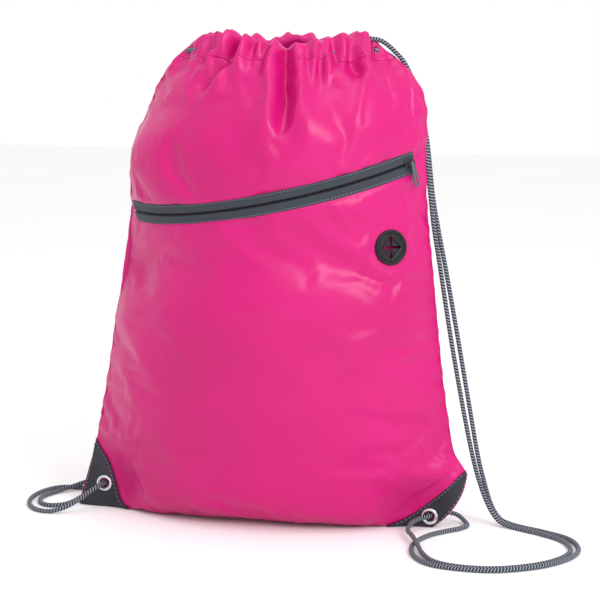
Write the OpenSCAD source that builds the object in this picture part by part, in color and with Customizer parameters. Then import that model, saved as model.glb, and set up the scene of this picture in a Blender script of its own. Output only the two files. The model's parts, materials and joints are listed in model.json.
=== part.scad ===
// Drawstring backpack, filled and standing on its base.
// Frame: +Z up, front towards -Y, origin on the floor under the middle of the bottom seam.

/* [Bag] */
// Height of the gathered top edge above the floor
bag_h = 390; // [380:1:400]
// Half width between the two side seams at the floor
base_half_w = 166; // [160:1:170]
// Half width between the two side seams where the shoulders begin
shoulder_half_w = 112; // [108:1:116]
// Depth of the filled bag's front and back at its fullest, from the seam plane
belly = 76; // [74:1:78]
// Sideways lean of the gathered top
lean_top = 12; // [8:1:14]
// Thickness of one layer of bag fabric
cloth_t = 0.8; // [0.6:0.1:0.9]

/* [Zip] */
// Radius of the arc that the zip follows round the front
zip_r = 140; // [138:1:142]
// Height of the zip arc's centre
zip_centre_z = 283; // [280:1:285]
// Slope of the zip across the front, in degrees
zip_slope = 11; // [9:0.5:12]
// Visible height of the zip tape pair
tape_h = 17; // [16:0.5:18]
// Length of the slider along the zip
slider_l = 10; // [9:0.5:12]
// Length of the pull below its eye
pull_l = 18; // [15:1:18]

/* [Earphone port] */
// Outer radius of the port
port_r = 13.7; // [13:0.1:14]
// Length of each slit, from the centre
slit_l = 9.2; // [8:0.1:9.5]

/* [Corners and cords] */
// Leg of a corner patch along the seams
patch_leg = 60; // [54:1:64]
// Radius of the hole through an eyelet
eyelet_hole_r = 4; // [3.8:0.1:4.4]
// Outer radius of an eyelet's flange
eyelet_r = 7; // [6.6:0.1:7.4]
// Diameter of the drawcord
cord_d = 3.6; // [3.2:0.1:3.8]

/* [Hidden] */

PINK = "#E62D87";
TAPE_GREY = "#555C67";
COIL_BLACK = "#2A2C32";
RUBBER = "#26282D";
PATCH_GREY = "#444450";
STEEL = "#C9CCD0";
CORD_GREY = "#3B414C";

// Bag outline: half width of the side seam, then depth of front and back, each against height
SEAM_HALF_W = [
    [0, base_half_w], [40, 154], [112, 140], [180, 131], [257, 121],
    [319, shoulder_half_w], [352, 101], [372, 87], [bag_h, 66]
];
DEPTH = [
    [0, 34], [20, 46], [60, 60], [120, belly - 5], [180, belly], [262, belly],
    [320, 66], [350, 54], [372, 42], [bag_h, 32]
];
FRONT = -1;
BACK = 1;
// Share of the half width left on the right, where that corner is tucked back near the floor
RIGHT_TUCK = [[0, 0.9], [12, 0.94], [30, 0.99], [45, 1]];
SEAM_U = 0.985;          // panels end this share of the way to the side seam
LAYER_GAP = 0.3;         // clearance between neighbouring layers
STACK_HALF = 2.1;        // half thickness of the inner layers where an eyelet clamps them
BASE_ROUND_H = 15;       // height over which the sides round into the base
LOW_TOP = 48;            // top of the closely spaced rows round the corners
LINING_TOP_INSET = 5;    // how far the pocket lining lies behind the zip
EPS = 0.05;

// Zip frame: a plane through the arc's centre, sloped sideways and tipped forward
ZIP_TIP = 9;
ZIP_C = [2, 65, zip_centre_z];
ZIP_ROT = [ZIP_TIP, -zip_slope, 0];
ZIP_HALF_ANGLE = 62;     // from the middle of the front to the side seam
TAPE_HALF_ANGLE = 55.5;
TAPE_T = 0.7;
COIL_T = 1.6;
ZIP_GAP = 0.6;           // half of the gap between the two tapes, where the slider's post runs
SLIDER_ANGLE = 53;       // slider's place at rest, from the middle towards +X

EYELET_LEFT = [-142, 20];
EYELET_RIGHT = [131, 9.5];
PINCH_FLAT_R = 8;        // radius round an eyelet within which the layers lie flat
PINCH_FADE_R = 22;       // distance over which they spread again
PATCH_T = 0.8;
PATCH_GAP = 0.8;         // clearance between a patch and the panel that it covers
PORT_U = 0.68;
PORT_Z = 228;
HEM_LOW = 371;
HEM_DEPTH = 8;
HEM_U = 0.8;             // the hem tunnels end this share of the way to the side seam
CORD_LOW_Z = HEM_LOW + 5;
CORD_HIGH_Z = HEM_LOW + 14;

// ---- functions ----
function clamp01(t) = max(0, min(1, t));
function smooth(t) = let (c = clamp01(t)) c * c * (3 - 2 * c);
function mix(a, b, t) = a + (b - a) * t;
function lean(z) = lean_top * pow(clamp01(z / bag_h), 2);
function unit(v) = v / norm(v);

// Point of a lens-shaped section; u runs from -1 at one side seam to 1 at the other
function lens(side, u, z, inset) =
    let (w = lookup(z, SEAM_HALF_W) - 1.2 * inset,
         d = lookup(z, DEPTH) - inset,
         r = (w * w + d * d) / (2 * d),
         phi = acos((r - d) / r))
    [lean(z) + r * sin(u * phi) * (u > 0 ? lookup(z, RIGHT_TUCK) : 1),
        side * (r * cos(u * phi) - (r - d)), z];

// Axes of the zip frame, and a point at angle t and height h in it
function zip_x() = [cos(zip_slope), 0, sin(zip_slope)];
function zip_y() = [-sin(zip_slope) * sin(ZIP_TIP), cos(ZIP_TIP), cos(zip_slope) * sin(ZIP_TIP)];
function zip_n() = cross(zip_x(), zip_y());
function zip_point(r, t) = ZIP_C + r * (sin(t) * zip_x() - cos(t) * zip_y());
function zip_height(u) = zip_point(zip_r, u * ZIP_HALF_ANGLE)[2];

// Front surface: the lens section, drawn onto the zip's cylinder near the zip
function front_point(u, z, inset) =
    let (p = lens(FRONT, u, z, inset),
         h = (z - zip_height(u)) / zip_n()[2],
         grip = 1 - smooth((abs(h) - 28) / 60),
         fade = 1 - smooth((abs(u) - 0.75) / 0.25),
         n = [zip_n()[0] * fade, zip_n()[1] * fade, zip_n()[2]],
         q = zip_point(zip_r - inset, u * ZIP_HALF_ANGLE) + h * n)
    mix(p, [q[0], q[1], z], grip);

// Share of the bag's depth that is left near the two clamped corners
function pinch(x, z, e) =
    exp(-pow(max(0, norm([x - e[0], z - e[1]]) - PINCH_FLAT_R) / PINCH_FADE_R, 2));
function corner_pinch(x, z) = max(pinch(x, z, EYELET_LEFT), pinch(x, z, EYELET_RIGHT));

// Any point of the bag's surface, k is the share of the depth left under the base
function bag_point(side, u, z, inset, k = 1) =
    let (p = side == FRONT ? front_point(u, z, inset) : lens(BACK, u, z, inset),
         o = side == FRONT ? front_point(u, z, 0) : lens(BACK, u, z, 0),
         c = corner_pinch(p[0], z),
         flat_y = side * (STACK_HALF - inset + abs(o[1]) * 0.02),
         y = mix(p[1] * k, flat_y * (k > 0 ? 1 : 0), c * smooth(k * 4)),
         lift = inset * (1 - smooth(z / BASE_ROUND_H)))
    [p[0], y, z + lift];

// Rows of a panel that starts under the base: [height, share of depth]
function base_rows(k0) = [
    [0, k0], [0, 0.3], [0, 0.6], [2, 0.82], [7, 0.95], [BASE_ROUND_H, 1], [24, 1], [34, 1], [LOW_TOP, 1]
];
function rise_rows(z0, z1, n) = [for (i = [1:n]) [mix(z0, z1, i / n), 1]];

// Triangles between two closed loops of n points each, at offsets a and b
function band(a, b, n) = [
    for (j = [0:n - 1]) let (k = (j + 1) % n)
        each [[a + j, a + k, b + k], [a + j, b + k, b + j]]
];

// Closed solid from a grid of outer points and a grid of inner points of the same size
module shell(outer, inner) {
    m = len(outer);
    n = len(outer[0]);
    points = concat([for (r = outer) each r], [for (r = inner) each r]);
    half = m * n;
    faces = concat(
        [for (i = [0:m - 2], j = [0:n - 2])
            let (a = i * n + j) each [[a, a + n, a + n + 1], [a, a + n + 1, a + 1]]],
        [for (i = [0:m - 2], j = [0:n - 2])
            let (a = half + i * n + j) each [[a, a + n + 1, a + n], [a, a + 1, a + n + 1]]],
        [for (j = [0:n - 2]) each [[j, j + 1, half + j + 1], [j, half + j + 1, half + j]]],
        [for (j = [0:n - 2]) let (a = (m - 1) * n + j)
            each [[a, half + a, half + a + 1], [a, half + a + 1, a + 1]]],
        [for (i = [0:m - 2]) let (a = i * n)
            each [[a, half + a, half + a + n], [a, half + a + n, a + n]]],
        [for (i = [0:m - 2]) let (a = i * n + n - 1)
            each [[a, a + n, half + a + n], [a, half + a + n, half + a]]]
    );
    polyhedron(points, faces);
}

// Same solid with its faces turned the other way, for surfaces seen from the back
module shell_for(side, outer, inner) {
    if (side == FRONT) shell(inner, outer);
    else shell(outer, inner);
}

// Tube of diameter d swept through points
module tube(path, d, sides = 8) {
    n = len(path);
    dirs = [for (i = [0:n - 1]) unit(path[min(i + 1, n - 1)] - path[max(i - 1, 0)])];
    rings = [
        for (i = [0:n - 1])
            let (t = dirs[i],
                 ref = abs(t[2]) < 0.9 ? [0, 0, 1] : [0, 1, 0],
                 a = unit(cross(t, ref)),
                 b = cross(t, a))
            [for (s = [0:sides - 1])
                path[i] + d / 2 * (cos(360 * s / sides) * a + sin(360 * s / sides) * b)]
    ];
    // each ring starts at the corner nearest to the one before it
    starts = [for (i = 0, s = 0; i < n;
        i = i + 1,
        s = i < n ? nearest(rings[i], rings[i - 1][s]) : 0) s];
    points = [for (i = [0:n - 1], j = [0:sides - 1]) rings[i][(starts[i] + j) % sides]];
    last = (n - 1) * sides;
    faces = concat(
        [for (i = [0:n - 2]) each band(i * sides, (i + 1) * sides, sides)],
        [[for (j = [sides - 1:-1:0]) j]],
        [[for (j = [0:sides - 1]) last + j]]
    );
    polyhedron(points, faces);
}
function nearest(ring, p) =
    let (d = [for (q = ring) norm(q - p)], m = min(d)) [for (i = [0:len(d) - 1]) if (d[i] == m) i][0];

// ---- cord routes ----
RIGHT_FRONT_ROUTE = [
    [73, -9, 385], [80, -4, 386], [89, 1, 384], [99, 2, 376], [108, 2, 365], [117, 2, 343],
    [123, 2, 310], [128, 2, 265], [131, 2, 240], [136, 2, 210], [145, 2, 155], [155, 3, 100],
    [163, 5, 60], [169, 8, 36], [176, 12, 16], [184, 12, 5], [194, 8, 2], [206, 1, 2],
    [220, -7, 2], [238, -22, 2], [247, -42, 2], [247, -60, 2], [238, -80, 2], [222, -97, 2],
    [198, -110, 2], [172, -111, 2], [152, -102, 2], [140, -84, 2.5], [132, -66, 5.5],
    [125, -49, 6], [120, -38, 6], [119, -28, 7], [121, -19, 8.5], [125, -12, 9.5], [130, -6, 9.5],
    [132, 0, 9.5], [133, 6, 9.5]
];
RIGHT_BACK_ROUTE = [
    [80, 11, 376], [87, 8, 376], [94, 6, 373], [100, 6, 368], [107, 6, 358], [117, 6, 338],
    [124, 6, 308], [129, 6, 265], [134, 5, 238], [140, 5, 208], [150, 5, 155], [160, 5, 100],
    [167, 7, 60], [172, 12, 36], [177, 18, 16], [184, 19, 5], [194, 15, 2], [206, 7, 2],
    [223, -2, 2], [243, -17, 2], [253, -40, 2], [252, -62, 2], [242, -83, 2], [225, -101, 2],
    [199, -115, 2], [171, -116, 2], [149, -109, 2], [135, -91, 2], [129, -70, 2], [130, -50, 2],
    [136, -32, 2], [146, -18, 2], [155, -8, 2], [160, 3, 2], [156, 13, 3], [149, 16, 7],
    [138, 13, 9.5]
];
LEFT_FRONT_ROUTE = [
    [-58, -11, 376], [-64, -6, 376], [-69, 1, 375], [-73, 8, 371], [-77, 13, 363], [-82, 17, 350],
    [-90, 19, 330], [-98, 22, 300], [-106, 28, 250], [-112, 30, 190], [-118, 28, 140],
    [-128, 22, 90], [-138, 18, 50], [-146, 20, 26], [-154, 27, 10], [-166, 37, 3],
    [-182, 44, 2], [-198, 40, 2], [-207, 25, 2], [-209, 4, 2], [-203, -18, 2], [-191, -33, 2],
    [-178, -36, 2], [-166, -31, 5], [-156, -24, 11], [-148, -18, 17], [-143, -11, 20],
    [-142, -3, 20], [-142, 6, 20]
];
LEFT_BACK_ROUTE = [
    [-51, 9, 385], [-57, 10, 384], [-63, 13, 380], [-69, 17, 373], [-75, 20, 363], [-80, 23, 350],
    [-88, 26, 330], [-95, 29, 295], [-101, 34, 240], [-106, 35, 190], [-113, 32, 140],
    [-123, 26, 90], [-132, 22, 50], [-139, 24, 26], [-147, 32, 12], [-158, 41, 8],
    [-172, 45, 8], [-186, 38, 4], [-196, 25, 2], [-201, 6, 2], [-196, -11, 2], [-186, -18, 2],
    [-176, -14, 2], [-171, -3, 2], [-168, 9, 3], [-159, 17, 8], [-149, 14, 16]
];

// ---- bag panels ----
COLS = 22;
// Columns lie closer together towards the side seams
function columns(limit) = [for (j = [0:COLS]) limit * sin(90 * (2 * j / COLS - 1))];
function panel_grid(side, rows, limit, inset) = [
    for (r = rows) [for (u = columns(limit)) bag_point(side, u, r[0], inset, r[1])]
];
// Rows between two heights that follow the zip, from z0(u) to z1(u)
function zip_edge(u, h) = zip_height(u) + h * zip_n()[2];

module layer_holes(e, r) {
    for (c = e) translate([c[0], 0, c[1]]) rotate([90, 0, 0]) cylinder(h = 16, r = r, center = true, $fn = 48);
}

module upper_front_panel() {
    n = 9;
    edge = tape_h / 2 + LAYER_GAP;
    function grid(inset) = [for (i = [0:n]) [
        for (u = columns(SEAM_U)) bag_point(FRONT, u, mix(zip_edge(u, edge), HEM_LOW - LAYER_GAP, i / n), inset)
    ]];
    color(PINK) shell_for(FRONT, grid(0), grid(cloth_t));
}

// Rows of the lower front: under the base, then up to h above the zip's centre line
function lower_front_grid(limit, h, k0, insets) = concat(
    [for (r = base_rows(k0)) [for (u = columns(limit)) bag_point(FRONT, u, r[0], insets[0], r[1])]],
    [for (i = [1:12]) [for (u = columns(limit))
        let (z = mix(LOW_TOP, zip_edge(u, h), i / 12))
        bag_point(FRONT, u, z, mix(insets[0], insets[1], smooth((z - 60) / 110)))]]
);

function inner_columns(grid) = [for (r = grid) [for (j = [1:len(r) - 2]) r[j]]];

module pocket_front_panel() {
    h = -tape_h / 2 - LAYER_GAP;
    color(PINK) difference() {
        shell_for(FRONT,
            lower_front_grid(SEAM_U, h, -0.06, [0, 0]),
            lower_front_grid(SEAM_U, h, -0.06, [cloth_t, cloth_t]));
        layer_holes([EYELET_LEFT, EYELET_RIGHT], eyelet_hole_r + 1.2);
        port_place() cylinder(h = 8, r = port_r - 1.7, center = true, $fn = 64);
    }
}

// The lining's columns are the pocket's, without the outermost ones, so the two can't cross
module pocket_lining() {
    i0 = cloth_t + LAYER_GAP;
    color(PINK) difference() {
        shell_for(FRONT,
            inner_columns(lower_front_grid(SEAM_U, tape_h / 2, 0.12, [i0, LINING_TOP_INSET])),
            inner_columns(lower_front_grid(SEAM_U, tape_h / 2, 0.12, [i0 + cloth_t, LINING_TOP_INSET + cloth_t])));
        layer_holes([EYELET_LEFT, EYELET_RIGHT], eyelet_hole_r + 1.6);
    }
}

module back_panel() {
    rows = concat(base_rows(0.1), rise_rows(LOW_TOP, HEM_LOW - LAYER_GAP, 18));
    color(PINK) difference() {
        shell_for(BACK, panel_grid(BACK, rows, SEAM_U, 0), panel_grid(BACK, rows, SEAM_U, cloth_t));
        layer_holes([EYELET_LEFT, EYELET_RIGHT], eyelet_hole_r + 1.2);
    }
}

// Overlocked seam allowance along one side
module side_seam(sx) {
    n = 18;
    z0 = patch_leg + 2;
    t = 0.6;
    function seam_x(z, inset) = lean(z) + sx * (lookup(z, SEAM_HALF_W) - inset);
    function grid(y) = [for (i = [0:n]) let (z = mix(z0, HEM_LOW - 2, i / n))
        [for (inset = sx > 0 ? [7, 0.4] : [0.4, 7]) [seam_x(z, inset), y, z]]];
    color(PINK) shell_for(BACK, grid(t / 2), grid(-t / 2));
}

// Tunnel of folded fabric for the drawcords
module hem_channel(side) {
    wall = cloth_t;
    function loop(u, i0, i1, z0, z1) = [
        lens(side, u, z0, i0), lens(side, u, z1, i0), lens(side, u, z1, i1), lens(side, u, z0, i1)
    ];
    us = columns(HEM_U);
    outer = [for (u = us) loop(u, 0, HEM_DEPTH, HEM_LOW, bag_h)];
    inner = [for (u = us) loop(u, wall, HEM_DEPTH - wall, HEM_LOW + wall, bag_h - wall)];
    n = len(us);
    half = 4 * n;
    points = concat([for (l = outer) each l], [for (l = inner) each l]);
    skins = concat(
        [for (i = [0:n - 2]) each band(4 * i, 4 * (i + 1), 4)],
        [for (i = [0:n - 2]) each band(half + 4 * (i + 1), half + 4 * i, 4)],
        band(half, 0, 4),
        band(4 * (n - 1), half + 4 * (n - 1), 4)
    );
    faces = side == FRONT ? skins : [for (f = skins) [f[2], f[1], f[0]]];
    color(PINK) polyhedron(points, faces);
}

// ---- zip ----
module zip_frame() { translate(ZIP_C) rotate(ZIP_ROT) children(); }

// Sector of a ring in the zip frame: radii, heights, and half the angle either side of the middle
module zip_sector(r0, r1, h0, h1, a0, a1) {
    rotate_extrude(angle = a1 - a0, start = a0 - 90, $fn = 180)
        translate([r0, h0]) square([r1 - r0, h1 - h0]);
}

module zip_tape(sy) {
    h0 = sy > 0 ? ZIP_GAP : -tape_h / 2;
    color(TAPE_GREY) zip_frame() zip_sector(zip_r - TAPE_T / 2, zip_r + TAPE_T / 2,
        h0, h0 + tape_h / 2 - ZIP_GAP, -TAPE_HALF_ANGLE, TAPE_HALF_ANGLE);
}

module zip_coil(sy) {
    h0 = sy > 0 ? ZIP_GAP : -ZIP_GAP - COIL_T;
    r1 = zip_r - TAPE_T / 2 - EPS;
    color(COIL_BLACK) zip_frame() zip_sector(r1 - COIL_T, r1, h0, h0 + COIL_T,
        -TAPE_HALF_ANGLE + 1, TAPE_HALF_ANGLE - 1);
}

module zip_stop(sx) {
    a = sx * (TAPE_HALF_ANGLE - 0.45);
    color(COIL_BLACK) zip_frame() zip_sector(zip_r - TAPE_T / 2 - EPS - COIL_T, zip_r - TAPE_T / 2 - EPS,
        -ZIP_GAP - COIL_T, ZIP_GAP + COIL_T, a - 0.35, a + 0.35);
}

// Parts of the slider, in the zip frame
PLATE_T = 1.1;
PLATE_R = zip_r + TAPE_T / 2 + LAYER_GAP;
BRIDGE_R = PLATE_R + PLATE_T + 2.5;
BRIDGE_BAR_R = 0.8;
BRIDGE_HALF_L = 3.2;
INNER_R = zip_r - TAPE_T / 2 - COIL_T - 2 * LAYER_GAP;
function arc_angle(l) = l / zip_r * 180 / PI;

module at_slider() { zip_frame() rotate([0, 0, SLIDER_ANGLE]) children(); }

module zip_slider() {
    half = arc_angle(slider_l) / 2;
    color(COIL_BLACK) {
        at_slider() {
            zip_sector(PLATE_R, PLATE_R + PLATE_T, -4.2, 4.2, -half, half);
            zip_sector(INNER_R - PLATE_T, INNER_R, -3.6, 3.6, -half, half);
            zip_sector(INNER_R - EPS, PLATE_R + EPS, -ZIP_GAP + 0.2, ZIP_GAP - 0.2, -0.6, 0.6);
            translate([0, -BRIDGE_R, 0]) rotate([0, 90, 0])
                cylinder(h = 2 * BRIDGE_HALF_L, r = BRIDGE_BAR_R, center = true, $fn = 32);
            for (s = [-1, 1]) translate([s * BRIDGE_HALF_L, -BRIDGE_R, 0]) rotate([-90, 0, 0])
                cylinder(h = BRIDGE_R - PLATE_R - 0.4, r = BRIDGE_BAR_R, $fn = 32);
        }
    }
}

module zip_pull() {
    eye_r = 1.9;
    t = 1.0;
    w = 5;
    color(TAPE_GREY) at_slider() translate([0, -BRIDGE_R, 0]) {
        difference() {
            rotate([0, 90, 0]) cylinder(h = 3, r = eye_r, center = true, $fn = 48);
            rotate([0, 90, 0]) cylinder(h = 4, r = BRIDGE_BAR_R + 0.25, center = true, $fn = 48);
        }
        difference() {
            rotate([90, 0, 0]) linear_extrude(t, center = true) polygon([
                [-1.5, -1.5], [1.5, -1.5], [w / 2, -5], [w / 2, -pull_l + 2], [w / 2 - 1.5, -pull_l],
                [-w / 2 + 1.5, -pull_l], [-w / 2, -pull_l + 2], [-w / 2, -5]
            ]);
            translate([0, 0, -pull_l + 4]) rotate([90, 0, 0]) cylinder(h = 3, r = 1.4, center = true, $fn = 32);
        }
    }
}

// ---- earphone port ----
// Place and outward direction of the port on the pocket
function port_point() = front_point(PORT_U, PORT_Z, 0);
function port_normal() = unit(cross(
    front_point(PORT_U + 0.05, PORT_Z, 0) - front_point(PORT_U - 0.05, PORT_Z, 0),
    front_point(PORT_U, PORT_Z + 8, 0) - front_point(PORT_U, PORT_Z - 8, 0)));
PORT_TILT = acos(port_normal()[2]);
PORT_TURN = atan2(port_normal()[1], port_normal()[0]);

module port_place() {
    translate(port_point()) rotate([0, 0, PORT_TURN]) rotate([0, PORT_TILT, 0]) rotate([0, 0, 90]) children();
}

FACE_Z = 0.4;
FACE_T = 1.1;
FLAP_T = 0.9;
FLAP_ROOM = 0.8;         // left free between a flap and the ring, along a slit
SLIT_W = 1.6;
module port_diamond(l, h) {
    linear_extrude(h) polygon([[l, 0], [0, l], [-l, 0], [0, -l]]);
}

module earphone_port_ring() {
    bead = 1.1;
    color(RUBBER) port_place() {
        difference() {
            union() {
                translate([0, 0, FACE_Z]) cylinder(h = FACE_T, r = port_r - bead, $fn = 96);
                translate([0, 0, FACE_Z + bead]) rotate_extrude($fn = 96) translate([port_r - bead, 0]) circle(bead, $fn = 24);
                translate([0, 0, -3]) difference() {
                    cylinder(h = 3 + FACE_Z + EPS, r = port_r - 2.2, $fn = 96);
                    translate([0, 0, -1]) cylinder(h = 3 + FACE_Z + 1 + EPS, r = port_r - 3.4, $fn = 96);
                }
            }
            translate([0, 0, FACE_Z - 1]) port_diamond(slit_l, FACE_T + 3);
        }
    }
}

module earphone_port_backing() {
    color(RUBBER) port_place() translate([0, 0, -3.2]) difference() {
        cylinder(h = 1, r = port_r, $fn = 96);
        translate([0, 0, -1]) cylinder(h = 3, r = port_r - 2.2 + 0.02, $fn = 96);
    }
}

// One of the four flaps between the crossed slits; a is the direction of its first edge
module port_flap(a) {
    g = SLIT_W / 2;
    l = slit_l - FLAP_ROOM - SLIT_W;
    color(RUBBER) port_place() rotate([0, 0, a]) translate([g, g, FACE_Z + (FACE_T - FLAP_T) / 2])
        linear_extrude(FLAP_T) polygon([[0, 0], [l, 0], [0, l]]);
}

// ---- corner patches, eyelets, knots ----
// A patch has the panel's own rows and columns, so that it runs parallel to it, and is cut to a corner
PATCH_COLS = 7;
PATCH_TIP_W = 6;
module corner_patch(side, sx) {
    eye = sx < 0 ? EYELET_LEFT : EYELET_RIGHT;
    us = columns(SEAM_U);
    kept = sx < 0 ? [0:PATCH_COLS] : [COLS - PATCH_COLS:COLS];
    rows = concat([for (r = base_rows(0)) if (r[0] > 0) r], [[patch_leg, 1]]);
    function grid(inset) = [for (r = rows) [for (j = kept) bag_point(side, us[j], r[0], inset, r[1])]];
    floor_x = sx * RIGHT_TUCK[0][1] * (base_half_w - patch_leg);
    top_x = sx * (lookup(patch_leg, SEAM_HALF_W) - PATCH_TIP_W);
    color(PATCH_GREY) difference() {
        shell_for(side, grid(-PATCH_GAP - PATCH_T), grid(-PATCH_GAP));
        layer_holes([eye], eyelet_hole_r + 1.2);
        rotate([90, 0, 0]) linear_extrude(4 * belly, center = true) polygon([
            [floor_x, -2], [floor_x, 0], [top_x, patch_leg + EPS], [0, patch_leg + EPS], [0, -2]
        ]);
    }
}

EYELET_ROOM = 1;
STACK = STACK_HALF + PATCH_GAP + PATCH_T + EYELET_ROOM;
module eyelet(e) {
    t = 0.8;
    wall = 0.8;
    color(STEEL) translate([e[0], 0, e[1]]) rotate([90, 0, 0]) difference() {
        union() {
            translate([0, 0, -STACK - 1]) cylinder(h = 2 * STACK + 1 + t / 2, r = eyelet_hole_r + wall, $fn = 64);
            translate([0, 0, STACK + 0.35]) cylinder(h = t, r = eyelet_r, $fn = 64);
        }
        translate([0, 0, -2 * STACK]) cylinder(h = 5 * STACK, r = eyelet_hole_r, $fn = 64);
    }
}

module eyelet_washer(e) {
    color(STEEL) translate([e[0], 0, e[1]]) rotate([90, 0, 0]) translate([0, 0, -STACK - 1]) difference() {
        cylinder(h = 0.7, r = eyelet_r, $fn = 64);
        translate([0, 0, -1]) cylinder(h = 3, r = eyelet_hole_r + 0.82, $fn = 64);
    }
}

// Knot that joins the two ends of a drawcord behind its eyelet
module cord_knot(e) {
    translate([e[0], 11, e[1]]) color(CORD_GREY) scale([1, 1, 1]) sphere(r = 5, $fn = 24);
}

// ---- drawcords inside the hem ----
// Front pass at one height, round the far side, back pass at the other height
module cord_in_hem(sx, z_front, z_back, start, end) {
    us = [-1, -0.6, -0.2, 0.2, 0.6, 1];
    inset = HEM_DEPTH / 2;
    front = [for (u = us) lens(FRONT, -sx * u * HEM_U, z_front, inset)];
    turn = [lens(FRONT, -sx, (z_front + z_back) / 2, inset)];
    rear = [for (i = [len(us) - 1:-1:0]) lens(BACK, -sx * us[i] * HEM_U, z_back, inset)];
    color(CORD_GREY) tube(concat([start], front, turn, rear, [end]), cord_d);
}

upper_front_panel();
pocket_front_panel();
pocket_lining();
back_panel();
side_seam(-1);  // left_side_seam
side_seam(1);  // right_side_seam
hem_channel(FRONT);  // front_hem_channel
hem_channel(BACK);  // back_hem_channel
zip_tape(1);  // upper_zip_tape
zip_tape(-1);  // lower_zip_tape
zip_coil(1);  // upper_zip_coil
zip_coil(-1);  // lower_zip_coil
zip_stop(-1);  // left_zip_stop
zip_stop(1);  // right_zip_stop
zip_slider();
zip_pull();
earphone_port_ring();
earphone_port_backing();
port_flap(90);  // earphone_port_upper_left_flap
port_flap(180);  // earphone_port_lower_left_flap
port_flap(270);  // earphone_port_lower_right_flap
port_flap(0);  // earphone_port_upper_right_flap
corner_patch(FRONT, -1);  // front_left_corner_patch
corner_patch(FRONT, 1);  // front_right_corner_patch
corner_patch(BACK, -1);  // back_left_corner_patch
corner_patch(BACK, 1);  // back_right_corner_patch
eyelet(EYELET_LEFT);  // left_eyelet
eyelet(EYELET_RIGHT);  // right_eyelet
eyelet_washer(EYELET_LEFT);  // left_eyelet_washer
eyelet_washer(EYELET_RIGHT);  // right_eyelet_washer
union() {  // left_cord_in_hem
    cord_in_hem(-1, CORD_LOW_Z, CORD_HIGH_Z, LEFT_FRONT_ROUTE[0], LEFT_BACK_ROUTE[0]);
}
union() {  // right_cord_in_hem
    cord_in_hem(1, CORD_HIGH_Z, CORD_LOW_Z, RIGHT_FRONT_ROUTE[0], RIGHT_BACK_ROUTE[0]);
}
color(CORD_GREY) tube(LEFT_FRONT_ROUTE, cord_d);  // left_cord_front_strand
color(CORD_GREY) tube(LEFT_BACK_ROUTE, cord_d);  // left_cord_back_strand
color(CORD_GREY) tube(RIGHT_FRONT_ROUTE, cord_d);  // right_cord_front_strand
color(CORD_GREY) tube(RIGHT_BACK_ROUTE, cord_d);  // right_cord_back_strand
cord_knot(EYELET_LEFT);  // left_cord_knot
cord_knot(EYELET_RIGHT);  // right_cord_knot
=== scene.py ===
import bmesh
import bpy
import json
import math
import numpy as np
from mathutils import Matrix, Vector

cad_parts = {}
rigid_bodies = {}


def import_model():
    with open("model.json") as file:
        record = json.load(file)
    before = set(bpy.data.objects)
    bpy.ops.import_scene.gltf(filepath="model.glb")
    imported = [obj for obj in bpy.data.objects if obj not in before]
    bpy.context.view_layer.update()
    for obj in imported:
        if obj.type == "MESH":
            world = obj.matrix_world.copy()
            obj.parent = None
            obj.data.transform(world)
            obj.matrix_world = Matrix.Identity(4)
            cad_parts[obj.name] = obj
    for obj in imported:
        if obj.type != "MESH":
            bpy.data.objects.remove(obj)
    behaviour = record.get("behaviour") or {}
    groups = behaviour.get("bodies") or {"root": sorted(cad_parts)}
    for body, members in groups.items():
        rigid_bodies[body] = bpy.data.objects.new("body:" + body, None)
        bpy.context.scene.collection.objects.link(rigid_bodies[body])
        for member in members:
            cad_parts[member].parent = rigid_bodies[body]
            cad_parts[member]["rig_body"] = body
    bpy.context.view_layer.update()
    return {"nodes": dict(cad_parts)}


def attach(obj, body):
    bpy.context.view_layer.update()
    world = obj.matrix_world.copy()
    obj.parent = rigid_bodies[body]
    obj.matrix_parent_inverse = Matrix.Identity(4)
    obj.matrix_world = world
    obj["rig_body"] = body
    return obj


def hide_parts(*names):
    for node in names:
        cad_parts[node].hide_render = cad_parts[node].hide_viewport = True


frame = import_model()
MM = 0.001
RNG = np.random.default_rng(7)

# ---- driving sizes, in millimetres, as the frame has them ----
BAG_H = 390.0
# Tables over the height: half the width between the side seams, depth of one side, width of the right lower corner
SEAM_HALF_W = [(0, 166), (40, 154), (112, 140), (180, 131), (257, 121), (319, 112), (352, 101), (372, 87),
               (390, 66)]
DEPTH = [(0, 34), (20, 46), (60, 60), (120, 71), (180, 76), (262, 76), (320, 66), (350, 54), (372, 42), (390, 32)]
RIGHT_TUCK = [(0, 0.80), (7, 0.867), (17, 0.935), (25, 0.98), (35, 1.02), (46, 1.045), (54, 1.02), (64, 1),
              (80, 1)]
LEAN_TOP = 12.0          # how far the rim leans to the right
# The zip lies on a cylinder whose axis is tilted: radius, centre and the two tilts
ZIP_R = 140.0
ZIP_C = np.array([2.0, 65.0, 283.0])
ZIP_SLOPE = math.radians(11)
ZIP_TIP = math.radians(9)
ZIP_HALF_ANGLE = 62.0
TAPE_HALF_ANGLE = 55.5
TAPE_H = 17.0
SLIDER_ANGLE = 53.0
EYELETS = {"left": (-142.0, 20.0), "right": (131.0, 9.5)}
EYELET_HOLE_R = 3.4
PATCH_HOLE_R = 3.9
PATCH_LEG = 60.0
HEM_LOW = 371.0
PULL_REST_Z = 214.0      # cloth that the pull lies over when the zip is open
CORD_D = 3.6
CLOTH_T = 0.8
LINING_T = 0.5
LEATHER_T = 0.9
PORT_U = 0.68
PORT_Z = 228.0
PORT_R = 13.7
PORT_HOLE_R = 10.8

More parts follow.
